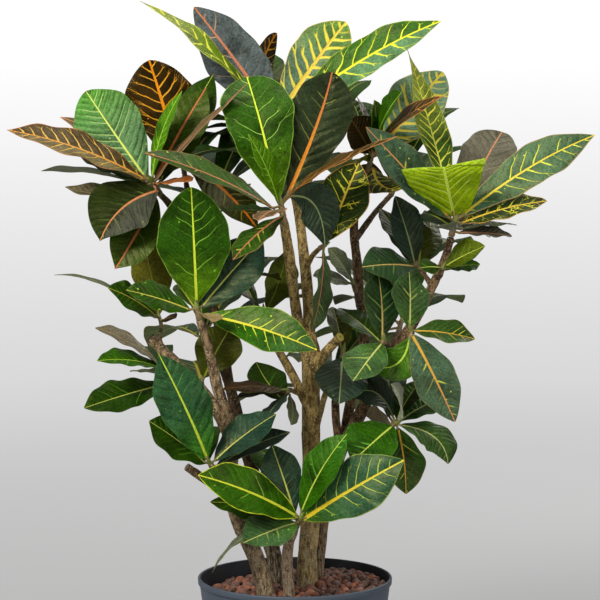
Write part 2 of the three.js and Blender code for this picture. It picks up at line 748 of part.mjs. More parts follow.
function normalFor(base, tip, turnDegrees) {
  const chord = tip.clone().sub(base).normalize();
  const toEye = EYE.clone().sub(base).normalize();
  const sideways = new THREE.Vector3().crossVectors(chord, toEye).normalize();
  const facing = new THREE.Vector3().crossVectors(sideways, chord).normalize();
  const skyward = sideways.z + UPRIGHT_LEAN * sideways.x >= 0 ? 1 : -1;
  const turn = THREE.MathUtils.degToRad(turnDegrees);
  const normal = facing.multiplyScalar(Math.cos(turn));
  return normal.addScaledVector(sideways, skyward * Math.sin(turn));
}

// A drawn leaf starts a little way from its shoot's depth towards its tip's depth.
const BASE_SHARE = 0.15;

function drawnLeaf(path, row, swing, roll) {
  const [baseAcross, baseDown, tipAcross, tipDown, tipDepth, width, turn, ...bow] = row;
  const shootDepth = path[2].y;
  const baseDepth = THREE.MathUtils.lerp(shootDepth, tipDepth, BASE_SHARE);
  const base = fromSheet(baseAcross, baseDown, baseDepth);
  const tip = fromSheet(tipAcross, tipDown, tipDepth + swing);
  const normal = normalFor(base, tip, turn + roll);
  const [viaAcross, viaDown, viaDepth = (baseDepth + tipDepth) / 2] = bow;
  const via = bow.length === 0
    ? base.clone().lerp(tip, 0.5).addScaledVector(normal, BLADE_ARCH * base.distanceTo(tip))
    : fromSheet(viaAcross, viaDown, viaDepth + swing / 2);
  const rows = width < SMALL_BLADE ? SMALL_BLADE_ROWS : BLADE_ROWS;
  return { foot: stalkFoot(path, base), base, via, tip, normal, width, rows };
}

// Rear leaves climb by turns level, steeply and low, and stand at three heights on the shoot. Their
// blades arch more than the drawn ones and their tips droop.
const REAR_CLIMBS = [0, 26, -22];
const REAR_FEET = [0.85, 0.65, 0.45];
const REAR_LENGTHS = [1, 0.92];
const REAR_ARCH = 1.6 * BLADE_ARCH;
const REAR_DROOP = 0.08;

function rearLeaf(path, rule, index, swing, lift) {
  const [count, firstBearing, lastBearing, length, width, rise] = rule;
  const share = count > 1 ? index / (count - 1) : 0;
  const bearing = THREE.MathUtils.degToRad(THREE.MathUtils.lerp(firstBearing, lastBearing, share));
  const climb = THREE.MathUtils.degToRad(rise + REAR_CLIMBS[index % 3] + lift);
  const foot = path[1].clone().lerp(path[2], REAR_FEET[index % 3]);
  const heading = new THREE.Vector3(
    Math.cos(bearing) * Math.cos(climb),
    Math.sin(bearing) * Math.cos(climb),
    Math.sin(climb),
  );
  const sideways = new THREE.Vector3(-Math.sin(bearing), Math.cos(bearing), 0);
  const normal = new THREE.Vector3().crossVectors(heading, sideways);
  const base = foot.clone().addScaledVector(heading, PETIOLE_LENGTH);
  foot.addScaledVector(heading, STALK_FOOT);
  const tip = base.clone().addScaledVector(heading, length * REAR_LENGTHS[index % 2]);
  tip.addScaledVector(sideways, swing);
  const via = base.clone().lerp(tip, 0.5).addScaledVector(normal, REAR_ARCH * length);
  tip.z -= REAR_DROOP * length;
  return { foot, base, via, tip, normal, width, rows: SMALL_BLADE_ROWS };
}

// Each leaf in turn is bent clear of what stands already: its tip swings nearer or farther, and then
// the blade rolls a little, until nothing is crossed. A drawn leaf rolls about its midrib and a rear
// leaf climbs more or less. One step of roll weighs as much as ROLL_WEIGHT steps of swing.
const SWING_STEP = 7;
const ROLL_STEP = 7;
const SWING_LIMIT = 12;
const ROLL_LIMIT = 2;
const ROLL_WEIGHT = 1.6;
const CLEAR_VOLUME = 0.001;
const TEST_SWELL = 1.6;

function bendings() {
  const choices = [];
  for (let roll = -ROLL_LIMIT; roll <= ROLL_LIMIT; roll += 1) {
    for (let swing = -SWING_LIMIT; swing <= SWING_LIMIT; swing += 1) {
      choices.push({ swing: swing * SWING_STEP, roll: roll * ROLL_STEP });
    }
  }
  const swings = ({ swing }) => Math.abs(swing) / SWING_STEP;
  const rolls = ({ roll }) => Math.abs(roll) / ROLL_STEP;
  const cost = (choice) => swings(choice) + ROLL_WEIGHT * rolls(choice);
  return choices.sort((a, b) => cost(a) - cost(b));
}

function boxesMeet(a, b) {
  return [0, 1, 2].every((axis) => a.min[axis] < b.max[axis] && b.min[axis] < a.max[axis]);
}

function crossing(solid, others) {
  const box = solid.boundingBox();
  let shared = 0;
  for (const other of others) {
    if (boxesMeet(box, other.box)) shared += solid.intersect(other.solid).volume();
  }
  return shared;
}

const SHOOT_TAPER = 0.8;
const COLLAR_STEP = 0.5;
const shoots = {};

for (const [name, crown] of Object.entries(CROWNS)) {
  const path = shootPath(name, crown.shoot);
  const tipRadius = crown.shoot[3] / 2;
  const collarRadius = Math.max(tipRadius, woodEnds[name].radius - COLLAR_STEP);
  const radii = [collarRadius, tipRadius, tipRadius * SHOOT_TAPER];
  const solid = limbSolid(path, radii, SHOOT_SIDES, Infinity);
  shoots[name] = { path, solid, box: solid.boundingBox() };
}

const placed = [];
const choices = bendings();
const crownSolids = {};

function settle(name, makeLeaf) {
  const others = [
    ...woodParts,
    ...Object.entries(shoots).filter(([owner]) => owner !== name).map(([, shoot]) => shoot),
    ...placed.filter((leaf) => leaf.crown !== name),
  ];
  const sisters = placed.filter((leaf) => leaf.crown === name);
  const sisterTips = sisters.map((leaf) => ({ solid: leaf.outer, box: leaf.outer.boundingBox() }));
  let best = null;
  for (const choice of choices) {
    const leaf = makeLeaf(choice.swing, choice.roll);
    const full = bladeSolid(leaf, TEST_SWELL, true);
    const outer = bladeSolid(leaf, TEST_SWELL, false);
    const shared = crossing(full, others) + crossing(outer, sisterTips);
    if (best === null || shared < best.shared) best = { leaf, shared };
    if (shared < CLEAR_VOLUME) break;
  }
  const solid = bladeSolid(best.leaf, 0, true);
  const outer = bladeSolid(best.leaf, 0, false);
  placed.push({ crown: name, solid, outer, box: solid.boundingBox() });
  crownSolids[name].push(solid);
}

for (const [name, crown] of Object.entries(CROWNS)) {
  crownSolids[name] = [shoots[name].solid];
  const { path } = shoots[name];
  for (const row of crown.leaves) {
    settle(name, (swing, roll) => drawnLeaf(path, row, swing, roll));
  }
}
for (const [name, crown] of Object.entries(CROWNS)) {
  const { path } = shoots[name];
  for (let index = 0; index < crown.rear[0]; index += 1) {
    settle(name, (swing, lift) => rearLeaf(path, crown.rear, index, swing, lift));
  }
}

// Assembly
const croton = new THREE.Group();
croton.add(namedMesh("pot", potSolid(), "#4b535d", 0.5));
croton.add(namedMesh("clay_granules", substrate, "#7a4c3c", 0.95));
croton.add(...stemMeshes);
for (const [name, solids] of Object.entries(crownSolids)) {
  croton.add(namedMesh(name, fuse(solids), "#2c5a20", 0.4));
}

export default croton;
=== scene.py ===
import math
import random
from functools import partial

import bpy
import numpy as np
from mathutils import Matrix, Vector, kdtree


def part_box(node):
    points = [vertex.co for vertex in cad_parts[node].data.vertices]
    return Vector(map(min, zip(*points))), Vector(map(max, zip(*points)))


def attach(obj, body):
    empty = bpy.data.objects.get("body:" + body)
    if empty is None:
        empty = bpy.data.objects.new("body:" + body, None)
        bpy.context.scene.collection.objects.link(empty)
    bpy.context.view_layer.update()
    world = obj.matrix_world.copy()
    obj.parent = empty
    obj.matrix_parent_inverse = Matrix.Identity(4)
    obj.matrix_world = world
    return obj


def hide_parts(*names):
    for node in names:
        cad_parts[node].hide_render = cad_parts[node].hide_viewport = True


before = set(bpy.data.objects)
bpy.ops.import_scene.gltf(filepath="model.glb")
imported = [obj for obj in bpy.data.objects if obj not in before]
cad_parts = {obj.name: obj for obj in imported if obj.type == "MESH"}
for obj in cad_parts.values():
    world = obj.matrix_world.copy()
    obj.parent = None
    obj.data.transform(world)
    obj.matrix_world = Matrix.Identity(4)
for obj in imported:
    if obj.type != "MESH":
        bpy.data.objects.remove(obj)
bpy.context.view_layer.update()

# Camera: an eye 2.2 m in front of the pot's axis and 656 mm above the floor, looking 4 degrees down.
# The plant is drawn on the sheet that this eye sees, 600 units square: across from the left edge,
# down from the top edge, and in depth as millimetres behind the upright plane through the pot's axis.
MM = 0.001
EYE = np.array([5.7, -2200.0, 656.0])
EYE_PITCH = math.radians(3.96)
SHEET_SIZE = 600
SHEET_MIDDLE = 300
SHEET_FOCUS = 1964
SENSOR_WIDTH = 36.0


def from_sheet(across, down, depth):
    """The point in millimetres that the eye sees at that place of the sheet, at that depth."""
    right = (across - SHEET_MIDDLE) / SHEET_FOCUS
    drop = (down - SHEET_MIDDLE) / SHEET_FOCUS
    forward = math.cos(EYE_PITCH) - drop * math.sin(EYE_PITCH)
    upward = -math.sin(EYE_PITCH) - drop * math.cos(EYE_PITCH)
    ray = np.array([right, forward, upward])
    return EYE + ray * (depth - EYE[1]) / forward


camera_data = bpy.data.cameras.new("camera")
camera_data.sensor_width = SENSOR_WIDTH
camera_data.lens = SENSOR_WIDTH * SHEET_FOCUS / SHEET_SIZE
camera = bpy.data.objects.new("camera", camera_data)
camera.location = EYE * MM
camera.rotation_euler = (math.radians(90) - EYE_PITCH, 0, 0)
bpy.context.scene.collection.objects.link(camera)
bpy.context.scene.camera = camera

# Pot: a round nursery pot, injection moulded in slate grey plastic with a satin skin. A thin lip
# stands a little proud round its rim, and the wall inside is painted almost black as painted shade.
POT_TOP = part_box("pot")[1].z / MM
POT_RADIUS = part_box("pot")[1].x / MM
POT_BASE_RADIUS = 84.0
POT_WALL = 2.4
POT_FLOOR = 4.0
LIP_HEIGHT = 7.0
LIP_PROUD = 1.2
POT_SEGMENTS = 160
POT_OUTSIDE = "#404955"
POT_INSIDE_SHADE = "#10131b"
POT_DUST = "#8d949c"
POT_SCUFF = "#9aa1a8"


def colour(code, alpha=1.0):
    """A linear colour from its usual six-figure code."""
    shares = [int(code[place:place + 2], 16) / 255 for place in (1, 3, 5)]
    linear = [s / 12.92 if s <= 0.04045 else ((s + 0.055) / 1.055) ** 2.4 for s in shares]
    return (*linear, alpha)


def new_piece(name, points, faces, materials, face_materials=None, sharp=None):
    """A smooth-shaded mesh object from points in millimetres."""
    mesh = bpy.data.meshes.new(name)
    mesh.from_pydata((np.asarray(points) * MM).tolist(), [], faces)
    for material in materials:
        mesh.materials.append(material)
    if face_materials is not None:
        mesh.polygons.foreach_set("material_index", face_materials)
    mesh.shade_smooth()
    if sharp is not None:
        mesh.set_sharp_from_angle(angle=math.radians(sharp))
    mesh.update()
    piece = bpy.data.objects.new(name, mesh)
    bpy.context.scene.collection.objects.link(piece)
    return piece


def turned(profile, segments):
    """Points and faces of a closed solid turned about the upright axis, from foot to top and inside."""
    points = []
    faces = []
    count = len(profile)
    for segment in range(segments):
        angle = 2 * math.pi * segment / segments
        points += [(r * math.cos(angle), r * math.sin(angle), z) for r, z in profile]
    for segment in range(segments):
        here = segment * count
        there = ((segment + 1) % segments) * count
        for place in range(count - 1):
            faces.append((here + place, there + place, there + place + 1, here + place + 1))
    middle = len(points)
    points += [(0, 0, profile[0][1]), (0, 0, profile[-1][1])]
    for segment in range(segments):
        here = segment * count
        there = ((segment + 1) % segments) * count
        faces.append((middle, there, here))
        faces.append((middle + 1, here + count - 1, there + count - 1))
    return points, faces


def outer_radius(height):
    """The radius of the pot's outside at a height, lip apart."""
    top = POT_RADIUS - LIP_PROUD
    return POT_BASE_RADIUS + (top - POT_BASE_RADIUS) * height / POT_TOP


def shader_material(name):
    """A new material, its node tree, its Principled BSDF, and the object's own place in metres."""
    material = bpy.data.materials.new(name)
    material.use_nodes = True
    tree = material.node_tree
    place = tree.nodes.new("ShaderNodeTexCoord").outputs["Object"]
    return material, tree, tree.nodes["Principled BSDF"], place


def feed(tree, node, inputs):
    """Gives each named input of a node its value or its link."""
    for key, value in inputs.items():
        if isinstance(value, bpy.types.NodeSocket):
            tree.links.new(value, node.inputs[key])
        else:
            node.inputs[key].default_value = value


def add_node(tree, kind, inputs, settings=None):
    """The outputs of a new node of that kind."""
    node = tree.nodes.new(kind)
    for key, value in (settings or {}).items():
        setattr(node, key, value)
    feed(tree, node, inputs)
    return node.outputs


def sums(tree, operation, *values):
    """The outcome of a Math node."""
    return add_node(tree, "ShaderNodeMath", dict(enumerate(values)), {"operation": operation})[0]


def product(tree, first, second, plus=0.0):
    """The first times the second, plus a third."""
    return sums(tree, "MULTIPLY_ADD", first, second, plus)


def ramp(tree, value, low, high, to_low=0.0, to_high=1.0):
    """A value eased from one range to another and kept inside it."""
    inputs = dict(enumerate((value, low, high, to_low, to_high)))
    return add_node(tree, "ShaderNodeMapRange", inputs, {"interpolation_type": "SMOOTHSTEP"})[0]


def layered(tree, tint, *layers):
    """A tint with other colours laid over it in turn, each by its share, which may be a mask."""
    for share, over, *mode in layers:
        settings = {"data_type": "RGBA", "blend_type": mode[0] if mode else "MIX", "clamp_factor": True}
        tint = add_node(tree, "ShaderNodeMix", {0: share, 6: tint, 7: over}, settings)[2]
    return tint


def raised(tree, height, distance, strength=1.0):
    """The normal of a surface raised by a height, in metres at full height."""
    inputs = {"Height": height, "Distance": distance, "Strength": strength}
    return add_node(tree, "ShaderNodeBump", inputs)["Normal"]


def noise(tree, place, scale, detail=2.0, roughness=0.5):
    """A cloudy value between 0 and 1."""
    inputs = {"Vector": place, "Scale": scale, "Detail": detail, "Roughness": roughness}
    return add_node(tree, "ShaderNodeTexNoise", inputs)["Fac"]


def squeezed(tree, place, upright):
    """The place with its height scaled: a pattern on it is drawn out below 1 and pressed flat above."""
    return add_node(tree, "ShaderNodeMapping", {"Vector": place, "Scale": (1, 1, upright)})[0]


def pattern_group(name, places, values, masks):
    """A node group, what it is given, and the node that takes what it puts out."""
    tree = bpy.data.node_groups.new(name, "ShaderNodeTree")
    sides = (("INPUT", "Vector", places), ("INPUT", "Float", values), ("OUTPUT", "Float", masks))
    for side, kind, sockets in sides:
        for socket in sockets:
            tree.interface.new_socket(socket, in_out=side, socket_type="NodeSocket" + kind)
    return tree, tree.nodes.new("NodeGroupInput").outputs, tree.nodes.new("NodeGroupOutput")


def pattern_in(tree, group, inputs):
    """What a pattern puts out where it is placed in a material."""
    return add_node(tree, "ShaderNodeGroup", inputs, {"node_tree": group})


def pot_wear_group():
    """Dust, scuffs and grain of moulded plastic that has been handled."""
    tree, given, result = pattern_group("Pot wear", ["Place"], [], ["Cloud", "Dust", "Scuffs", "Grain"])
    cloud = noise(tree, given["Place"], 26, 5)
    rubbed = noise(tree, squeezed(tree, given["Place"], 9), 60, 6, 0.7)
    feed(tree, result, {
        "Cloud": cloud, "Dust": ramp(tree, cloud, 0.35, 0.75), "Scuffs": ramp(tree, rubbed, 0.62, 0.8),
        "Grain": noise(tree, given["Place"], 900, 2)})
    return tree


pot_wear = pot_wear_group()


def pot_plastic(name, code, gloss, wear):
    """Satin plastic, with dust and scuffs laid over it by the wear."""
    material, tree, shader, place = shader_material(name)
    worn = pattern_in(tree, pot_wear, {"Place": place})
    tint = layered(tree, colour(code), (product(tree, worn["Dust"], wear), colour(POT_DUST)),
                   (product(tree, worn["Scuffs"], wear), colour(POT_SCUFF)))
    rough = product(tree, worn["Scuffs"], 0.12, product(tree, worn["Cloud"], 0.18, gloss))
    feed(tree, shader, {"Base Color": tint, "Roughness": rough, "Specular IOR Level": 0.35,
                        "Normal": raised(tree, worn["Grain"], 0.00008)})
    return material


LIP_FOOT = POT_TOP - LIP_HEIGHT
INNER_TOP = outer_radius(POT_TOP) - POT_WALL
pot_profile = [
    (POT_BASE_RADIUS - 12, 1.2), (POT_BASE_RADIUS - 9, 0.0), (POT_BASE_RADIUS - 2, 0.0),
    (POT_BASE_RADIUS - 0.8, 0.4), (outer_radius(2) - 0.1, 1.6), (outer_radius(5), 5),
    (outer_radius(60), 60), (outer_radius(120), 120), (outer_radius(LIP_FOOT - 1.5), LIP_FOOT - 1.5),
    (outer_radius(LIP_FOOT) + 0.1, LIP_FOOT - 0.3), (POT_RADIUS - 0.7, LIP_FOOT),
    (POT_RADIUS - 0.3, LIP_FOOT + 0.5), (POT_RADIUS - 0.2, LIP_FOOT + 3), (POT_RADIUS, POT_TOP - 1.8),
    (POT_RADIUS - 0.2, POT_TOP - 0.7), (POT_RADIUS - 0.7, POT_TOP - 0.1), (POT_RADIUS - 1.3, POT_TOP),
    (INNER_TOP + 0.9, POT_TOP), (INNER_TOP + 0.3, POT_TOP - 0.4), (INNER_TOP - 0.1, POT_TOP - 1.2),
    (INNER_TOP - 2, POT_TOP - 16), (outer_radius(60) - POT_WALL, 60),
    (outer_radius(POT_FLOOR) - POT_WALL, POT_FLOOR + 3), (outer_radius(POT_FLOOR) - POT_WALL - 3, POT_FLOOR),
]
points, faces = turned(pot_profile, POT_SEGMENTS)
inside_start = pot_profile.index((INNER_TOP + 0.9, POT_TOP))
face_count = len(pot_profile) - 1
sides = [1 if place % face_count >= inside_start else 0 for place in range(POT_SEGMENTS * face_count)]
sides += [0, 1] * POT_SEGMENTS
pot = new_piece("pot_finish", points, faces, [
    pot_plastic("Pot plastic outside", POT_OUTSIDE, 0.4, 0.1),
    # The inside is the same plastic as the outside, painted near black as the shade inside the pot.
    pot_plastic("Pot plastic inside painted shade", POT_INSIDE_SHADE, 0.5, 0.06),
], sides, sharp=50)
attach(pot, "root")
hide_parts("pot")

# Woody stems: living wood under a thin brown bark, cut back and forked. Each limb is drawn as
# [across, down, depth mm, diameter mm] from the granules up. The first limb of a stem is rooted, and
# a limb named after a crown or sprout carries it on its end.
SUBSTRATE_TOP = POT_TOP - 15
ROOTED_DEPTH = 70
STEMS = {
    "stem_left": {
        "trunk_left": [[268, 596, -35, 21], [257, 560, -38, 20], [243, 530, -43, 19],
                       [233, 500, -47, 18], [230, 475, -50, 18], [231, 445, -48, 17],
                       [231, 428, -46, 15]],
        "crown_left_middle": [[231, 440, -47, 15], [225, 412, -46, 13], [217, 386, -49, 12],
                              [212, 362, -52, 11], [204, 332, -56, 10], [200, 320, -58, 9]],
        "cut_end_left_high": [[230, 438, -46, 14], [212, 403, -38, 13], [186, 373, -30, 12],
                              [163, 350, -26, 12], [150, 338, -24, 12]],
        "crown_left_twig": [[163, 350, -26, 8], [160, 340, -21, 5], [161, 328, -18, 4.5]],
        "crown_left_low_rear": [[188, 375, -30, 8], [180, 377, -12, 6.5], [173, 376, 2, 6]],
        "sprout_left_fork": [[211, 402, -38, 8], [206, 394, -24, 6], [203, 388, -16, 5.5]],
        "cut_end_left_low": [[231, 492, -48, 13], [208, 481, -60, 10], [187, 467, -70, 9]],
        "crown_left_low": [[230, 484, -49, 11], [221, 475, -66, 8], [214, 469, -78, 7]],
    },
    "stem_rear": {
        "trunk_rear": [[281, 588, 20, 19], [273, 552, 24, 18], [262, 515, 28, 17],
                       [252, 470, 24, 15], [243, 435, 14, 14], [235, 405, 10, 13],
                       [228, 380, 10, 12]],
        "crown_left_high": [[229, 384, 10, 12], [222, 340, 18, 11], [208, 290, 26, 10],
                            [190, 240, 24, 9], [170, 205, 10, 8], [161, 195, 0, 7]],
        "crown_left_high_rear": [[193, 245, 24, 8], [190, 205, 44, 7], [186, 182, 48, 6]],
        "crown_rear_left": [[229, 386, 10, 9], [218, 360, 48, 8], [205, 342, 92, 7]],
        "crown_rear_left_high": [[204, 280, 26, 8], [212, 240, 70, 7], [214, 210, 112, 6]],
    },
    "stem_small": {
        "crown_low_front": [[290, 598, -47, 14], [287, 560, -50, 13], [289, 543, -56, 12],
                            [294, 531, -64, 10]],
    },
    "stem_main": {
        "trunk_main": [[307, 592, 0, 23], [307, 560, 0, 22], [310, 526, 0, 22], [311, 480, 0, 21],
                       [311, 430, 0, 21], [311, 390, 0, 21], [310, 350, 0, 21], [307, 336, 0, 20]],
        "cut_end_main": [[312, 372, -2, 12], [326, 352, -12, 11], [340, 337, -18, 10.5]],
        "crown_centre_rear": [[306, 402, 0, 11], [291, 372, 16, 10], [276, 346, 30, 9],
                              [266, 325, 38, 8]],
        "crown_centre": [[303, 352, -1, 12], [295, 302, -14, 12], [289, 255, -38, 11.5],
                         [284, 222, -56, 10]],
        "crown_top": [[310, 350, 0, 15], [308, 300, 8, 13], [304, 255, 22, 12], [297, 205, 46, 10],
                      [286, 165, 62, 8], [278, 140, 68, 7]],
        "crown_centre_twig": [[306, 268, 18, 7], [313, 255, -8, 6], [319, 249, -26, 5]],
        "crown_rear_high": [[301, 235, 30, 8], [306, 200, 76, 7], [312, 172, 122, 6]],
        "sprout_main_trunk": [[309, 396, 0, 8], [298, 393, -12, 6], [293, 391, -17, 5.5]],
        "crown_rear_centre": [[312, 440, 2, 10], [320, 412, 48, 8], [326, 392, 96, 7]],
    },
    "stem_right": {
        "trunk_right": [[317, 588, 27, 13], [321, 545, 24, 12.5], [325, 512, 20, 12.5],
                        [335, 470, 14, 14], [346, 436, 8, 14]],
        "crown_right_high": [[344, 444, 9, 14], [358, 418, 0, 14], [368, 398, -8, 13.5],
                             [380, 370, -14, 13], [396, 348, -20, 13], [412, 325, -22, 12.5],
                             [428, 295, -20, 11], [439, 272, -16, 10], [447, 252, -14, 9],
                             [451, 237, -13, 8]],
        "crown_right_high_rear": [[343, 448, 9, 12], [350, 405, 22, 12], [360, 360, 34, 12],
                                  [365, 325, 38, 12], [360, 300, 38, 11.5], [357, 262, 40, 11],
                                  [354, 230, 44, 10], [358, 198, 52, 8], [366, 175, 58, 7]],
        "crown_right_inner": [[341, 452, 10, 10], [336, 420, 0, 9], [336, 388, -4, 8],
                              [341, 362, -6, 7]],
        "crown_right_middle": [[404, 338, -21, 9], [409, 337, -36, 7], [411, 334, -44, 6]],
        "crown_right_stub": [[392, 352, -19, 10], [388, 346, -31, 8], [385, 343, -39, 7]],
        "sprout_right_branch": [[436, 278, -17, 8], [440, 276, -31, 6], [441, 273, -38, 5.5]],
        "sprout_right_branch_rear": [[432, 286, -18, 8], [426, 277, 0, 6], [421, 270, 12, 5.5]],
        "sprout_tall_right": [[363, 310, 42, 9], [359, 299, 24, 6.5], [356, 292, 14, 5.5]],
        "crown_right_low": [[348, 434, 6, 10], [368, 434, -18, 8], [386, 428, -34, 7]],
        "crown_rear_right": [[378, 374, -13, 10], [390, 352, 38, 8], [398, 334, 86, 7]],
        "crown_rear_right_high": [[355, 240, 43, 8], [374, 214, 84, 7], [390, 196, 124, 6]],
    },
}
# Bark: pale, dark and speckle colours of each stem, and the size of the cells that its wood is fused in.
BARK = {
    "stem_left": ("#a08560", "#4c3a26", "#cdbd9c"),
    # The rear stem's colours are painted darker than the others' as painted shade: it stands behind them.
    "stem_rear": ("#5c482e", "#261b10", "#867250"),
    "stem_small": ("#a5886a", "#5a4330", "#d3bfa4"),
    "stem_main": ("#b6995a", "#604c28", "#dcc894"),
    "stem_right": ("#86694a", "#3a2a18", "#b8a078"),
}
CORK_TONE = "#bcae92"
CORK_REACH = (0.2, 0.3)
WOOD_CELL = 1.5
RING_STEP = 2.5
LENGTH_STEPS = 200
TRUNK_SIDES = 28
SCAR_SPACING = (9, 22)
SCAR_HEIGHTS = (0.25, 0.6)
SCAR_SPREAD = 1.6
SWELLINGS = ((0.03, 13), (0.02, 5.3))
LEAN = (0.035, 60)
FLUTING = (0.02, -35)


def unit(vector):
    """The direction of a vector, at length 1."""
    return vector / np.linalg.norm(vector)


def smooth_curve(points):
    """A centripetal Catmull-Rom curve through the points, as a function of its share along."""
    ends = [2 * points[0] - points[1], *points, 2 * points[-1] - points[-2]]

    def at(share):
        place = min(share * (len(points) - 1), len(points) - 1 - 1e-9)
        index = int(place)
        rest = place - index
        p0, p1, p2, p3 = ends[index:index + 4]
        d0, d1, d2 = (math.sqrt(np.linalg.norm(b - a)) for a, b in ((p0, p1), (p1, p2), (p2, p3)))
        start = ((p1 - p0) / d0 - (p2 - p0) / (d0 + d1) + (p2 - p1) / d1) * d1
        end = ((p2 - p1) / d1 - (p3 - p1) / (d1 + d2) + (p3 - p2) / d2) * d1
        square = rest * rest
        bend = -3 * p1 + 3 * p2 - 2 * start - end
        twist = 2 * p1 - 2 * p2 + start + end
        return p1 + start * rest + bend * square + twist * square * rest

    return at


def tube(centres, radii, sides):
    """Points and faces of a closed tube: radii holds one value, or one for each side, for each ring."""
    across = np.array((0.9, 0.3, 0.1))
    points = []
    faces = []
    count = len(centres)
    angles = np.arange(sides) * 2 * math.pi / sides
    for ring, centre in enumerate(centres):
        tangent = unit(centres[min(ring + 1, count - 1)] - centres[max(ring - 1, 0)])
        across = unit(across - tangent * across.dot(tangent))
        beyond = np.cross(tangent, across)
        spokes = np.outer(np.cos(angles), across) + np.outer(np.sin(angles), beyond)
        points.append(centre + spokes * np.reshape(radii[ring], (-1, 1)))
    for ring in range(count - 1):
        for side in range(sides):
            a = ring * sides + side
            b = ring * sides + (side + 1) % sides
            faces.append((a, b, b + sides, a + sides))
    last = (count - 1) * sides
    faces.append(tuple(range(sides - 1, -1, -1)))
    faces.append(tuple(last + side for side in range(sides)))
    return np.concatenate(points), faces


def wood_path(limb, rooted):
    """A limb's middle line and radii. A rooted one goes straight down into the granules."""
    path = [from_sheet(*point[:3]) for point in limb]
    radii = [point[3] / 2 for point in limb]
    if not rooted:
        return path, radii
    foot = np.array([*path[0][:2], SUBSTRATE_TOP - ROOTED_DEPTH])
    buried = np.array([*path[0][:2], SUBSTRATE_TOP - 10])
    above = [point for point in path if point[2] > SUBSTRATE_TOP + 2]
    return [foot, buried, *above], [radii[0], radii[0], *radii[-len(above):]]


def bark_rings(path, radii, draw):
    """Rings of a limb with leaf scars, slow swellings and a slightly flattened section."""
    curve = smooth_curve(path)
    shares = np.linspace(0, 1, LENGTH_STEPS)
    length = sum(np.linalg.norm(curve(b) - curve(a)) for a, b in zip(shares, shares[1:]))
    count = max(6, round(length / RING_STEP))
    scars = []
    place = draw.uniform(*SCAR_SPACING)
    while place < length:
        scars.append((place, draw.uniform(0, 2 * math.pi), draw.uniform(*SCAR_HEIGHTS)))
        place += draw.uniform(*SCAR_SPACING)
    angles = np.arange(TRUNK_SIDES) * 2 * math.pi / TRUNK_SIDES
    phases = [draw.uniform(0, 6.28) for _ in range(4)]
    centres = []
    rings = []
    for ring in range(count + 1):
        share = ring / count
        along = share * length
        radius = np.interp(share * (len(radii) - 1), range(len(radii)), radii)
        swell = sum(height * math.sin(along / pace + phase)
                    for (height, pace), phase in zip(SWELLINGS, phases))
        lean = LEAN[0] * np.cos(2 * angles + phases[2] + along / LEAN[1])
        flute = FLUTING[0] * np.cos(3 * angles + phases[3] + along / FLUTING[1])
        profile = radius * (1 + swell + lean + flute)
        for place, bearing, height in scars:
            nearness = math.exp(-((along - place) / SCAR_SPREAD) ** 2)
            profile = profile + height * nearness * (0.45 + 0.55 * np.cos(angles - bearing))
        rings.append(np.maximum(profile, 0.6 * radius))
        centres.append(curve(share))
    return centres, rings


def split(tree, vector):
    """The X, Y and Z of a vector."""
    return add_node(tree, "ShaderNodeSeparateXYZ", {"Vector": vector})


def cells(tree, place, scale, feature="F1"):
    """A pattern of cells: how far off the middle or edge of each is, and a colour for each."""
    return add_node(tree, "ShaderNodeTexVoronoi", {"Vector": place, "Scale": scale}, {"feature": feature})


def bark_group():
    """Mottling, speckles, corky foot and relief of bark."""
    masks = ["Mottle", "Speckle", "Cork", "Relief"]
    tree, given, result = pattern_group("Bark pattern", ["Place"], [], masks)
    place = given["Place"]
    drawn = squeezed(tree, place, 0.45)
    mottle = ramp(tree, noise(tree, drawn, 210, 6, 0.72), 0.4, 0.6)
    speckle = ramp(tree, cells(tree, place, 380)["Distance"], 0.2, 0.42, 1.0, 0.0)
    chosen = ramp(tree, noise(tree, place, 90, 3), 0.36, 0.55)
    fibres = ramp(tree, noise(tree, squeezed(tree, place, 0.16), 620, 4, 0.6), 0.42, 0.62)
    cork = product(tree, fibres, ramp(tree, split(tree, place)["Z"], *CORK_REACH, 1.0, 0.0))
    cracks = product(tree, mottle, 0.6, noise(tree, drawn, 520, 5, 0.65))
    feed(tree, result, {"Mottle": mottle, "Speckle": product(tree, speckle, chosen), "Cork": cork,
                        "Relief": product(tree, cork, 0.8, cracks)})
    return tree


bark_pattern = bark_group()


def bark(name, pale, dark, speck):
    """Mottled bark of one stem, with pale cork on its foot."""
    material, tree, shader, place = shader_material(name)
    pattern = pattern_in(tree, bark_pattern, {"Place": place})
    tint = layered(tree, colour(dark), (pattern["Mottle"], colour(pale)),
                   (product(tree, pattern["Speckle"], 0.7), colour(speck)),
                   (product(tree, pattern["Cork"], 0.65), colour(CORK_TONE)))
    feed(tree, shader, {"Base Color": tint, "Roughness": 0.78, "Specular IOR Level": 0.25,
                        "Normal": raised(tree, pattern["Relief"], 0.0014, 0.9)})
    return material


def fused(piece, cell):
    """The piece with its overlapping tubes fused into one skin of small cells."""
    remesh = piece.modifiers.new("fuse", "REMESH")
    remesh.mode = "VOXEL"
    remesh.voxel_size = cell * MM
    remesh.use_smooth_shade = True
    shown = piece.evaluated_get(bpy.context.evaluated_depsgraph_get())
    mesh = bpy.data.meshes.new_from_object(shown)
    piece.modifiers.clear()
    piece.data = mesh
    return piece


def joined(batches):
    """Points and faces of several batches, numbered on."""
    offset = 0
    points = []
    faces = []
    for batch_points, batch_faces in batches:
        points.append(np.asarray(batch_points, float))
        faces += [tuple(index + offset for index in face) for face in batch_faces]
        offset += len(batch_points)
    return np.concatenate(points), faces


def sawn_off(points, end, facing, heading):
    """The limb's points, with those near its end moved along the limb onto the plane of the saw cut."""
    beyond = (points - end) @ facing
    last = len(points) - TRUNK_SIDES
    beyond[:last] = np.maximum(beyond[:last], 0)
    return points - np.outer(beyond / heading.dot(facing), heading)


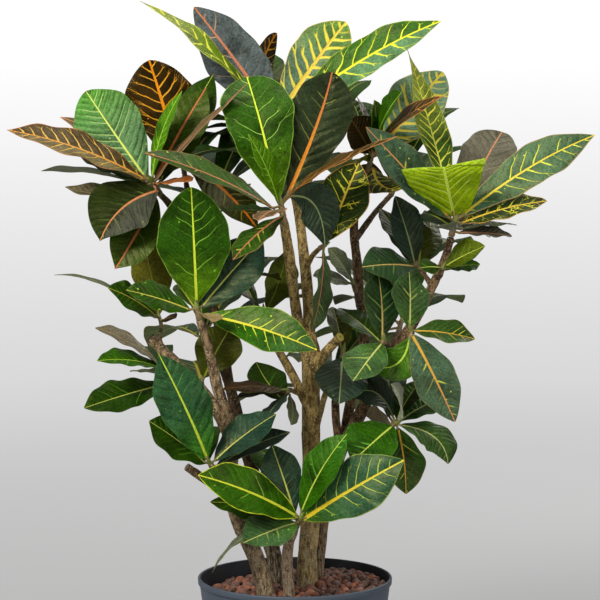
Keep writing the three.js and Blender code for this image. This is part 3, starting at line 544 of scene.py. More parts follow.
wood_ends = {}
sawn_faces = []
OBLIQUE_CUTS = {"cut_end_main": (0.1, -0.75, -0.05)}
OBLIQUE_SPREAD = 1.06
END_SHARE = 0.9999
for number, (stem_name, limbs) in enumerate(STEMS.items()):
    batches = []
    draw = random.Random(100 + number)
    for limb_name, limb in limbs.items():
        path, radii = wood_path(limb, rooted=not batches)
        curve = smooth_curve(path)
        heading = along_limb = unit(curve(1) - curve(END_SHARE))
        wood_ends[limb_name] = (path[-1], heading, radii[-1])
        if limb_name.startswith("cut_end"):
            sawn_faces.append((limb_name, path[-1], heading, radii[-1]))
        centres, rings = bark_rings(path, radii, draw)
        points, faces = tube(centres, rings, TRUNK_SIDES)
        if limb_name in OBLIQUE_CUTS:
            heading = unit(heading + np.array(OBLIQUE_CUTS[limb_name]))
            points = sawn_off(points, path[-1], heading, along_limb)
            sawn_faces[-1] = (limb_name, path[-1], heading, radii[-1] * OBLIQUE_SPREAD)
        batches.append((points, faces))
    pale, dark, speck = BARK[stem_name]
    points, faces = joined(batches)
    skin = bark("Bark of " + stem_name.replace("_", " "), pale, dark, speck)
    stem = fused(new_piece(stem_name + "_bark", points, faces, [skin]), WOOD_CELL)
    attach(stem, "root")
    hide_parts(stem_name)

# Cut ends: where a branch was sawn off, the wood shows inside a ring of bark, pale on the fresh cut and
# brown on the old ones. Each face is a thin domed disc that closes the end of its branch.
FACE_SIDES = 24
FACE_RINGS = (0.35, 0.7, 0.9, 0.97, 0.97)
FACE_SINK = 1.2
FACE_RISE = 0.5
FACE_DOME = 0.3


def marking(tree, name):
    """What the points of a piece carry under that name."""
    return add_node(tree, "ShaderNodeAttribute", {}, {"attribute_name": name})


def mark_points(piece, name, values):
    """Gives every point of a piece its own value, vector or colour under that name."""
    values = np.asarray(values, np.float32)
    width = values.shape[1] if values.ndim > 1 else 1
    kinds = {1: ("FLOAT", "value"), 3: ("FLOAT_VECTOR", "vector"), 4: ("FLOAT_COLOR", "color")}
    layer = piece.data.attributes.new(name, kinds[width][0], "POINT")
    layer.data.foreach_set(kinds[width][1], values.ravel())


def sawn_group():
    """Rings, pith, rim and saw marks of a sawn face, from the share of the way out to the bark."""
    masks = ["Rings", "Wood", "Rim", "Saw marks"]
    tree, given, result = pattern_group("Sawn wood", ["Place"], ["From pith"], masks)
    marks = noise(tree, given["Place"], 300, 3)
    rings = sums(tree, "SINE", product(tree, product(tree, marks, 0.25, given["From pith"]), 22))
    feed(tree, result, {
        "Rings": ramp(tree, rings, -0.5, 0.9), "Wood": ramp(tree, given["From pith"], 0.14, 0.3),
        "Rim": ramp(tree, given["From pith"], 0.78, 0.95), "Saw marks": marks})
    return tree


sawn_pattern = sawn_group()


def cut_wood(name, pale, ring, heart):
    """Sawn wood, with the dark of the pith also in the ring of bark."""
    material, tree, shader, place = shader_material(name)
    from_pith = marking(tree, "from_pith")["Fac"]
    face = pattern_in(tree, sawn_pattern, {"Place": place, "From pith": from_pith})
    wood = layered(tree, colour(ring), (face["Rings"], colour(pale)))
    tint = layered(tree, colour(heart), (face["Wood"], wood), (face["Rim"], colour(heart)))
    feed(tree, shader, {"Base Color": tint, "Roughness": 0.6,
                        "Normal": raised(tree, face["Saw marks"], 0.0004)})
    return material


fresh_cut = cut_wood("Cut wood fresh", "#d2c65e", "#a09a3c", "#6d4a18")
old_cut = cut_wood("Cut wood weathered", "#8a7254", "#64503a", "#2e2014")
for number, (limb_name, end, heading, radius) in enumerate(sawn_faces):
    across = unit(np.cross(heading, [0.2, 0.9, 0.4]))
    beyond = np.cross(heading, across)
    points = [end - heading * FACE_SINK, end + heading * FACE_RISE]
    pith_shares = [0.0, 0.0]
    faces = []
    for level, spread in enumerate(FACE_RINGS):
        rise = -FACE_SINK if level == len(FACE_RINGS) - 1 else FACE_RISE - FACE_DOME * spread ** 4
        for side in range(FACE_SIDES):
            angle = 2 * math.pi * side / FACE_SIDES
            spoke = math.cos(angle) * across + math.sin(angle) * beyond
            points.append(end + heading * rise + spoke * spread * radius)
            pith_shares.append(spread)
    for side in range(FACE_SIDES):
        after = (side + 1) % FACE_SIDES
        faces.append((1, 2 + side, 2 + after))
        for level in range(len(FACE_RINGS) - 1):
            a = 2 + level * FACE_SIDES
            faces.append((a + side, a + FACE_SIDES + side, a + FACE_SIDES + after, a + after))
        last = 2 + (len(FACE_RINGS) - 1) * FACE_SIDES
        faces.append((0, last + after, last + side))
    wood = fresh_cut if limb_name in OBLIQUE_CUTS else old_cut
    face = new_piece(f"sawn_face_{number + 1}", points, faces, [wood], sharp=40)
    mark_points(face, "from_pith", pith_shares)
    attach(face, "root")

# Clay granules: fired clay pebbles of 8 to 17 mm, brown-red and porous, poured round the stems and
# higher on the right, each painted darker on its underside as painted shade. Under the pebbles lies a plain
# bed of the same clay, painted dark all over as the shade in the gaps.
SUBSTRATE_CROWN = 4
SUBSTRATE_TILT = 0.06
HEAP = (42, 20, 3, 37.4)
PEBBLE_RADII = ((5.6, 9.4), (3.2, 5.6))
PEBBLE_PACKING = (0.86, 0.72)
PEBBLE_TRIES = 9000
LARGE_TRIES = 5400
WALL_GAP = 0.8
STEM_GAP = 0.7
PEBBLE_FACETS = 2
PEBBLE_WIDTHS = (0.82, 1.0)
PEBBLE_HEIGHTS = (0.7, 0.9)
PEBBLE_LUMPS = 0.045
PEBBLE_WAVES = 4
PEBBLE_WAVE_SPREAD = 2.6
PEBBLE_DEPTH = 0.86
# Painted shade: the share of its size below which a pebble darkens, the colour of that shade, which also
# covers the bed, and how strongly it is laid on.
PAINTED_SHADE_FROM = 0.45
PEBBLE_RISE = (3.4, 2.9)
PEBBLE_SINKS = (-1.6, 0.8)
BED_DROP = 6
BED_SIDES = 64
PAINTED_SHADE_TONE = "#1c100b"
PAINTED_SHADE_SHARE = 0.85
CLAY_DUST = "#b98a74"
CLAY_PORE = "#2e1b14"
CLAY_TONES = ["#6a3f33", "#573228", "#7a4c3e", "#40241d", "#804626", "#5e4034", "#9a5a36", "#4c2c26"]


def substrate_height(x, y):
    """The level that the pebbles are poured to: domed, tilted, and with a heap."""
    reach = math.hypot(x, y) / POT_RADIUS
    heap_x, heap_y, height, spread = HEAP
    from_heap = math.hypot(x - heap_x, y - heap_y) / spread
    level = SUBSTRATE_TOP + SUBSTRATE_TILT * x + SUBSTRATE_CROWN * (1 - reach * reach)
    return level + height * math.exp(-from_heap ** 2)


def clay():
    """Porous clay that is dusty on top. Every pebble brings its own tone, darkened underneath by painted
    shade.
    """
    material, tree, shader, place = shader_material("Fired clay")
    pits = ramp(tree, cells(tree, place, 900)["Distance"], 0.12, 0.32)
    dust = ramp(tree, noise(tree, place, 260, 4, 0.65), 0.35, 0.7)
    tint = layered(tree, marking(tree, "clay_tone_and_shade")["Color"], (product(tree, dust, 0.3), colour(CLAY_DUST)),
                   (ramp(tree, pits, 0, 1, 0.5, 0.0), colour(CLAY_PORE)))
    relief = product(tree, pits, 0.6, noise(tree, place, 1500, 3))
    feed(tree, shader, {"Base Color": tint, "Roughness": 0.6, "Normal": raised(tree, relief, 0.0006)})
    return material


def ball(subdivisions):
    """Unit points and triangles of a geodesic ball."""
    golden = (1 + math.sqrt(5)) / 2
    corners = []
    for a in (-1, 1):
        for b in (-golden, golden):
            corners += [(a, b, 0), (0, a, b), (b, 0, a)]
    corners = [unit(np.array(corner)) for corner in corners]
    edge = min(np.linalg.norm(corners[0] - other) for other in corners[1:]) * 1.01
    near = [{j for j, q in enumerate(corners) if j != i and np.linalg.norm(p - q) < edge}
            for i, p in enumerate(corners)]
    triangles = []
    for i, around in enumerate(near):
        for j in around:
            for k in around & near[j]:
                if i < j < k:
                    p, q, r = corners[i], corners[j], corners[k]
                    turn = np.dot(np.cross(q - p, r - p), p) > 0
                    triangles.append((i, j, k) if turn else (i, k, j))
    for _ in range(subdivisions):
        halfway = {}
        finer = []

        def middle(i, j):
            key = (min(i, j), max(i, j))
            if key not in halfway:
                halfway[key] = len(corners)
                corners.append(unit(corners[i] + corners[j]))
            return halfway[key]

        for i, j, k in triangles:
            ij, jk, ki = middle(i, j), middle(j, k), middle(k, i)
            finer += [(i, ij, ki), (ij, j, jk), (ki, jk, k), (ij, jk, ki)]
        triangles = finer
    return np.array(corners), triangles


def turn_matrix(draw):
    """A random rotation."""
    q = unit(np.array([draw.gauss(0, 1) for _ in range(4)]))
    w, x, y, z = q
    return np.array([
        [1 - 2 * (y * y + z * z), 2 * (x * y - z * w), 2 * (x * z + y * w)],
        [2 * (x * y + z * w), 1 - 2 * (x * x + z * z), 2 * (y * z - x * w)],
        [2 * (x * z - y * w), 2 * (y * z + x * w), 1 - 2 * (x * x + y * y)],
    ])


stem_feet = []
for limbs in STEMS.values():
    path, radii = wood_path(next(iter(limbs.values())), rooted=True)
    stem_feet.append((*path[1][:2], radii[1]))
edge_radius = outer_radius(SUBSTRATE_TOP) - POT_WALL - WALL_GAP
draw = random.Random(7)
pebbles = []
for attempt in range(PEBBLE_TRIES):
    level = 0 if attempt < LARGE_TRIES else 1
    size = draw.uniform(*PEBBLE_RADII[level])
    reach = (edge_radius - size) * math.sqrt(draw.random())
    bearing = draw.uniform(0, 2 * math.pi)
    x, y = reach * math.cos(bearing), reach * math.sin(bearing)
    if any(math.hypot(x - fx, y - fy) < fr + STEM_GAP * size for fx, fy, fr in stem_feet):
        continue
    if any(math.hypot(x - px, y - py) < PEBBLE_PACKING[level] * (size + ps) for px, py, ps, _ in pebbles):
        continue
    pebbles.append((x, y, size, level))
shape, shape_faces = ball(PEBBLE_FACETS)
batches = []
tones_and_shade = []
for x, y, size, level in pebbles:
    turn = turn_matrix(draw)
    stretch = np.diag([1.0, draw.uniform(*PEBBLE_WIDTHS), draw.uniform(*PEBBLE_HEIGHTS)])
    waves = [np.array([draw.gauss(0, PEBBLE_WAVE_SPREAD) for _ in range(3)]) for _ in range(PEBBLE_WAVES)]
    lumps = sum(np.sin(shape @ wave + 2 * index) for index, wave in enumerate(waves))
    body = (shape * (1 + PEBBLE_LUMPS * lumps)[:, None]) @ stretch @ turn.T * size
    # Painted shade: each pebble's colour turns darker towards its underside, as the shade in the gaps
    # between pebbles.
    buried = np.clip(PAINTED_SHADE_FROM - body[:, 2:] / size, 0, 1) * PAINTED_SHADE_SHARE
    height = substrate_height(x, y) + PEBBLE_RISE[level] - size * PEBBLE_DEPTH + draw.uniform(*PEBBLE_SINKS)
    body += np.array([x, y, height])
    batches.append((body, shape_faces))
    tone = np.array(colour(draw.choice(CLAY_TONES)))
    tones_and_shade.append(tone * (1 - buried) + np.array(colour(PAINTED_SHADE_TONE)) * buried)
bed_foot = outer_radius(POT_FLOOR) - POT_WALL - WALL_GAP
bed = turned([(bed_foot, POT_FLOOR + 0.3), (edge_radius, SUBSTRATE_TOP - BED_DROP),
              (edge_radius * 0.6, SUBSTRATE_TOP - BED_DROP + 2)], BED_SIDES)
batches.append(bed)
# The bed is painted the dark shade colour all over, as the shade seen in the gaps between the pebbles.
tones_and_shade.append(np.tile(colour(PAINTED_SHADE_TONE), (len(bed[0]), 1)))
points, faces = joined(batches)
granules = new_piece("granule_pebbles", points, faces, [clay()])
mark_points(granules, "clay_tone_and_shade", np.concatenate(tones_and_shade))
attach(granules, "root")
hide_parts("clay_granules")

# Leaves: thick and leathery, 110 to 200 mm long, pointed, with coloured veins above and a dull paler
# underside. A look names its colours: blade, midrib, laterals, margin and underside, and may have
# another on one half or towards an end. Its shares say how much of each marking shows.
PLAIN_LOOK = {
    "edge": "#3f6a1c", "under": "#5f7040", "stalk": "#6f6838", "half": None, "tip": None, "foot": None,
    "rib_tip": None, "rib_width": 1.0, "vein_width": 1.0, "pitch": 1.0, "veins": 0.12, "edging": 0.2,
    "spots": 0.15, "net": 0.0, "ridge": 0.25, "blunt": 0.2, "fullness": 1.0,
}


def look_of(blade, rib, vein, **others):
    """A plain look with its own colours and whatever else is special about it."""
    return {**PLAIN_LOOK, "blade": blade, "rib": rib, "vein": vein, **others}


LOOKS = {
    "deep": look_of("#193400", "#a9b24c", "#406e16", rib_width=0.85),
    "moss": look_of("#315419", "#b9bf5c", "#6f9437", blunt=0.5),
    "sage": look_of("#274217", "#b0b46c", "#5b7936", ridge=0.7, edge="#5f7a48"),
    "sea": look_of("#32502a", "#b4b868", "#9db048", spots=0.5, edge="#7d9a64", foot="#38601f"),
    "leafy": look_of("#204a00", "#b6c84e", "#5a9a30", edge="#4f8a2c", tip="#26560e", rib_width=0.9),
    "quilted": look_of("#1e4627", "#b4c838", "#5f9a2c", rib_width=1.3, ridge=1.1, foot="#2f6410",
        edge="#4f7c34"),
    "lush": look_of("#2b5600", "#a4c440", "#6fa430", veins=0.2, rib_width=1.1, vein_width=0.7,
        blunt=0.1),
    "bright": look_of("#1b4200", "#c9d838", "#76a82c", veins=0.7, rib_width=1.25, edge="#93b545",
        edging=0.5, vein_width=0.6, pitch=1.2, foot="#4a7005", blunt=0.6),
    # fresh: a young leaf's own bright yellow-green, with the glow of light shining through it painted into
    # the blade colour.
    "fresh": look_of("#89a904", "#d2ea5c", "#cfe458", veins=1.0, ridge=0.8, rib_width=1.4,
        under="#98b04a", stalk="#a8984a", pitch=0.7, vein_width=0.7, fullness=0.55),
    "young": look_of("#406c00", "#93c43e", "#82b838", veins=0.6, ridge=0.5, under="#84a548",
        vein_width=0.7, blunt=0.1),
    # sheen: besides its own green, the pale blade colour carries a painted sheen, the light that this leaf's
    # face catches.
    "sheen": look_of("#4c7045", "#ccd668", "#9cba6c", veins=0.4, ridge=1.5, edge="#4b8426", edging=0.5,
        pitch=0.8, vein_width=0.8, tip="#3e7823", rib_width=1.1, blunt=0.7),
    "blue": look_of("#1a3327", "#b0b258", "#40612d", rib_width=0.9),
    "blue_gold": look_of("#26482f", "#cab024", "#a9b842", rib_width=1.7, veins=0.75, edge="#a9b83a",
        edging=0.4, rib_tip="#cdc232", spots=0.3, vein_width=0.7, foot="#2b5412"),
    "gold_edge": look_of("#234a00", "#c3c834", "#8cac38", rib_width=1.5, veins=0.45, edge="#bcc42c",
        edging=0.9, vein_width=0.6),
    "teal_gold": look_of("#354f3a", "#c69a3c", "#b4b848", rib_width=1.3, veins=0.15, edge="#8a6c40",
        edging=0.3, spots=0.8, rib_tip="#c07c50"),
    "cream_rib": look_of("#1d381c", "#bfa45c", "#6f8440", spots=0.3, edge="#6a7040", edging=0.3),
    "gold_green": look_of("#38563b", "#d6c03c", "#d4d43c", rib_width=1.3, veins=0.45, edge="#b48c58",
        edging=0.6, spots=0.4, blunt=0.0),
    "striped": look_of("#315014", "#c4c84e", "#cfc63c", rib_width=1.1, veins=0.95, edge="#a8ac5c",
        edging=0.6, tip="#8e9a3e", pitch=0.6, vein_width=1.3, blunt=-0.2, ridge=0.6, fullness=1.8),
    "netted": look_of("#4e6650", "#e2c44c", "#e4d248", rib_width=2.3, veins=0.95, edge="#cfae58",
        edging=0.7, spots=0.1, vein_width=2.6, blunt=0.6, tip="#567c34"),
    # netted_pale: the colours of netted made paler as painted light, for a leaf that stands in shade.
    "netted_pale": look_of("#6b8d6d", "#f0d44c", "#ecd850", rib_width=2.3, veins=0.95, edge="#d8b468",
        edging=0.8, vein_width=2.6, blunt=0.6),
    "lime_net": look_of("#4c7048", "#d9d930", "#d2d834", rib_width=1.8, veins=0.85, edge="#a3b539",
        edging=0.5, vein_width=1.7, pitch=1.2, half="#23500f", blunt=0.1),
    "yellow_green": look_of("#506c00", "#b4bc48", "#d8d848", rib_width=0.9, veins=0.7, edge="#c4c850",
        edging=0.8, tip="#848e42", vein_width=2.6, pitch=1.3, rib_tip="#989d58", blunt=-0.5,
        fullness=1.7),
    "dark_net": look_of("#192a0b", "#d4b23c", "#c8c434", rib_width=1.4, veins=0.75, edge="#b98c42",
        edging=0.9, net=0.13, spots=0.3, pitch=1.25, blunt=0.4),
    "stroked": look_of("#225006", "#d0c83c", "#c2cc3c", rib_width=1.3, veins=0.4, spots=0.4,
        edge="#a8b83c", edging=0.4, vein_width=0.8, tip="#284a22"),
    "stroked_gold": look_of("#234015", "#c79c3c", "#b4b03c", rib_width=1.1, veins=0.35, spots=0.4,
        edge="#9a8a3c", edging=0.4, vein_width=0.7),
    "spotted": look_of("#1d4200", "#c0b94c", "#a8bc3c", veins=0.05, spots=0.9, edge="#6f8a34"),
    "ember": look_of("#2a1700", "#e0860c", "#d8961c", rib_width=2.2, veins=1.0, edge="#3f2a0e",
        edging=0.4, under="#5a4424", stalk="#b8702c", vein_width=1.2, pitch=1.15, blunt=0.8),
    "ember_green": look_of("#252905", "#d8741c", "#8d7e2e", rib_width=2.0, veins=0.3, under="#4f4a28",
        stalk="#b8702c"),
    "bronze": look_of("#3a2915", "#c98a38", "#cda24a", rib_width=1.4, veins=0.95, edge="#a86c44",
        edging=0.9, half="#63563a", ridge=0.9, vein_width=1.15, pitch=0.9, blunt=0.0),
    "dark_orange": look_of("#1a2616", "#cf8228", "#8a8c40", rib_width=1.7, veins=0.15, edge="#4a3420",
        edging=0.4, ridge=0.6, rib_tip="#b8633c", vein_width=0.6, blunt=0.7),
    "slate": look_of("#4e5759", "#c07a58", "#a8886c", rib_width=2.0, veins=0.3, edge="#4c5046",
        edging=0.4, vein_width=0.9, ridge=0.5, spots=0.3, blunt=0.4),
    # half_salmon: its grey half is partly painted sheen, the light caught by that half of the leaf.
    "half_salmon": look_of("#1f2a0a", "#c07c4c", "#6c7d37", half="#35372f", rib_width=1.2, ridge=1.3,
        stalk="#a8683c", blunt=-0.1),
    "red_rib": look_of("#263a02", "#b4643a", "#636330", rib_width=1.5, blunt=-0.1),
    "brown_grey": look_of("#4a463a", "#c07a54", "#756d58", rib_width=1.2, veins=0.2, under="#6d6656",
        blunt=0.9, ridge=0.5),
    "rosy": look_of("#3a4e2b", "#c2745a", "#8e9d46", spots=0.4),
    "mottled": look_of("#214009", "#b8704c", "#b4ac3c", veins=0.15, spots=1.0, edge="#9a7440",
        edging=0.5, rib_width=1.4),
    "pink_edge": look_of("#5a4932", "#c07c50", "#a5785c", edge="#b98a68", edging=1.0, rib_width=1.4,
        under="#8c705a", veins=0.4, blunt=0.0),
    "orange_edge": look_of("#3a2a0f", "#c8843c", "#b87c34", edge="#c8803c", edging=1.0, rib_width=1.2,
        under="#7c5c3c", veins=0.6, blunt=-0.1),
    "red_curl": look_of("#74411c", "#d07a40", "#b8683a", edge="#c0783a", edging=1.0, under="#7c5232"),
    "beige": look_of("#948055", "#b89070", "#a08a60", under="#a08a64"),
    "olive": look_of("#363c03", "#929839", "#6a7220", under="#454810"),
    "olive_vein": look_of("#445408", "#a8b440", "#6f7c28", veins=0.5, under="#454f12", vein_width=0.7),
    "olive_under": look_of("#3c4008", "#989835", "#71721e", under="#52500f"),
    "brown": look_of("#2b1b0c", "#6a4a28", "#4a3420", under="#3c2618"),
    "dusk": look_of("#1f2e25", "#828f5c", "#43593d", ridge=0.35),
    "grey": look_of("#535a3f", "#8f9474", "#6b7953", under="#74775e"),
    "pale": look_of("#888c76", "#b4b99c", "#9ea38b", under="#959982"),
    "tan": look_of("#75694e", "#9a8d6a", "#8b7f5f", under="#7c7058"),
}
LOOKS["broad"] = {**LOOKS["bright"], "vein": "#94bc4c", "blunt": 2.0}

# Crowns: green shoots of young wood, each grown on the end of its limb. The leaves that show from the
# front are drawn one by one, and the rear leaves are set behind the shoot by rule.
REAR_LOOKS = ["deep", "moss", "blue", "spotted", "dusk", "sage", "gold_green", "deep", "olive", "bright"]

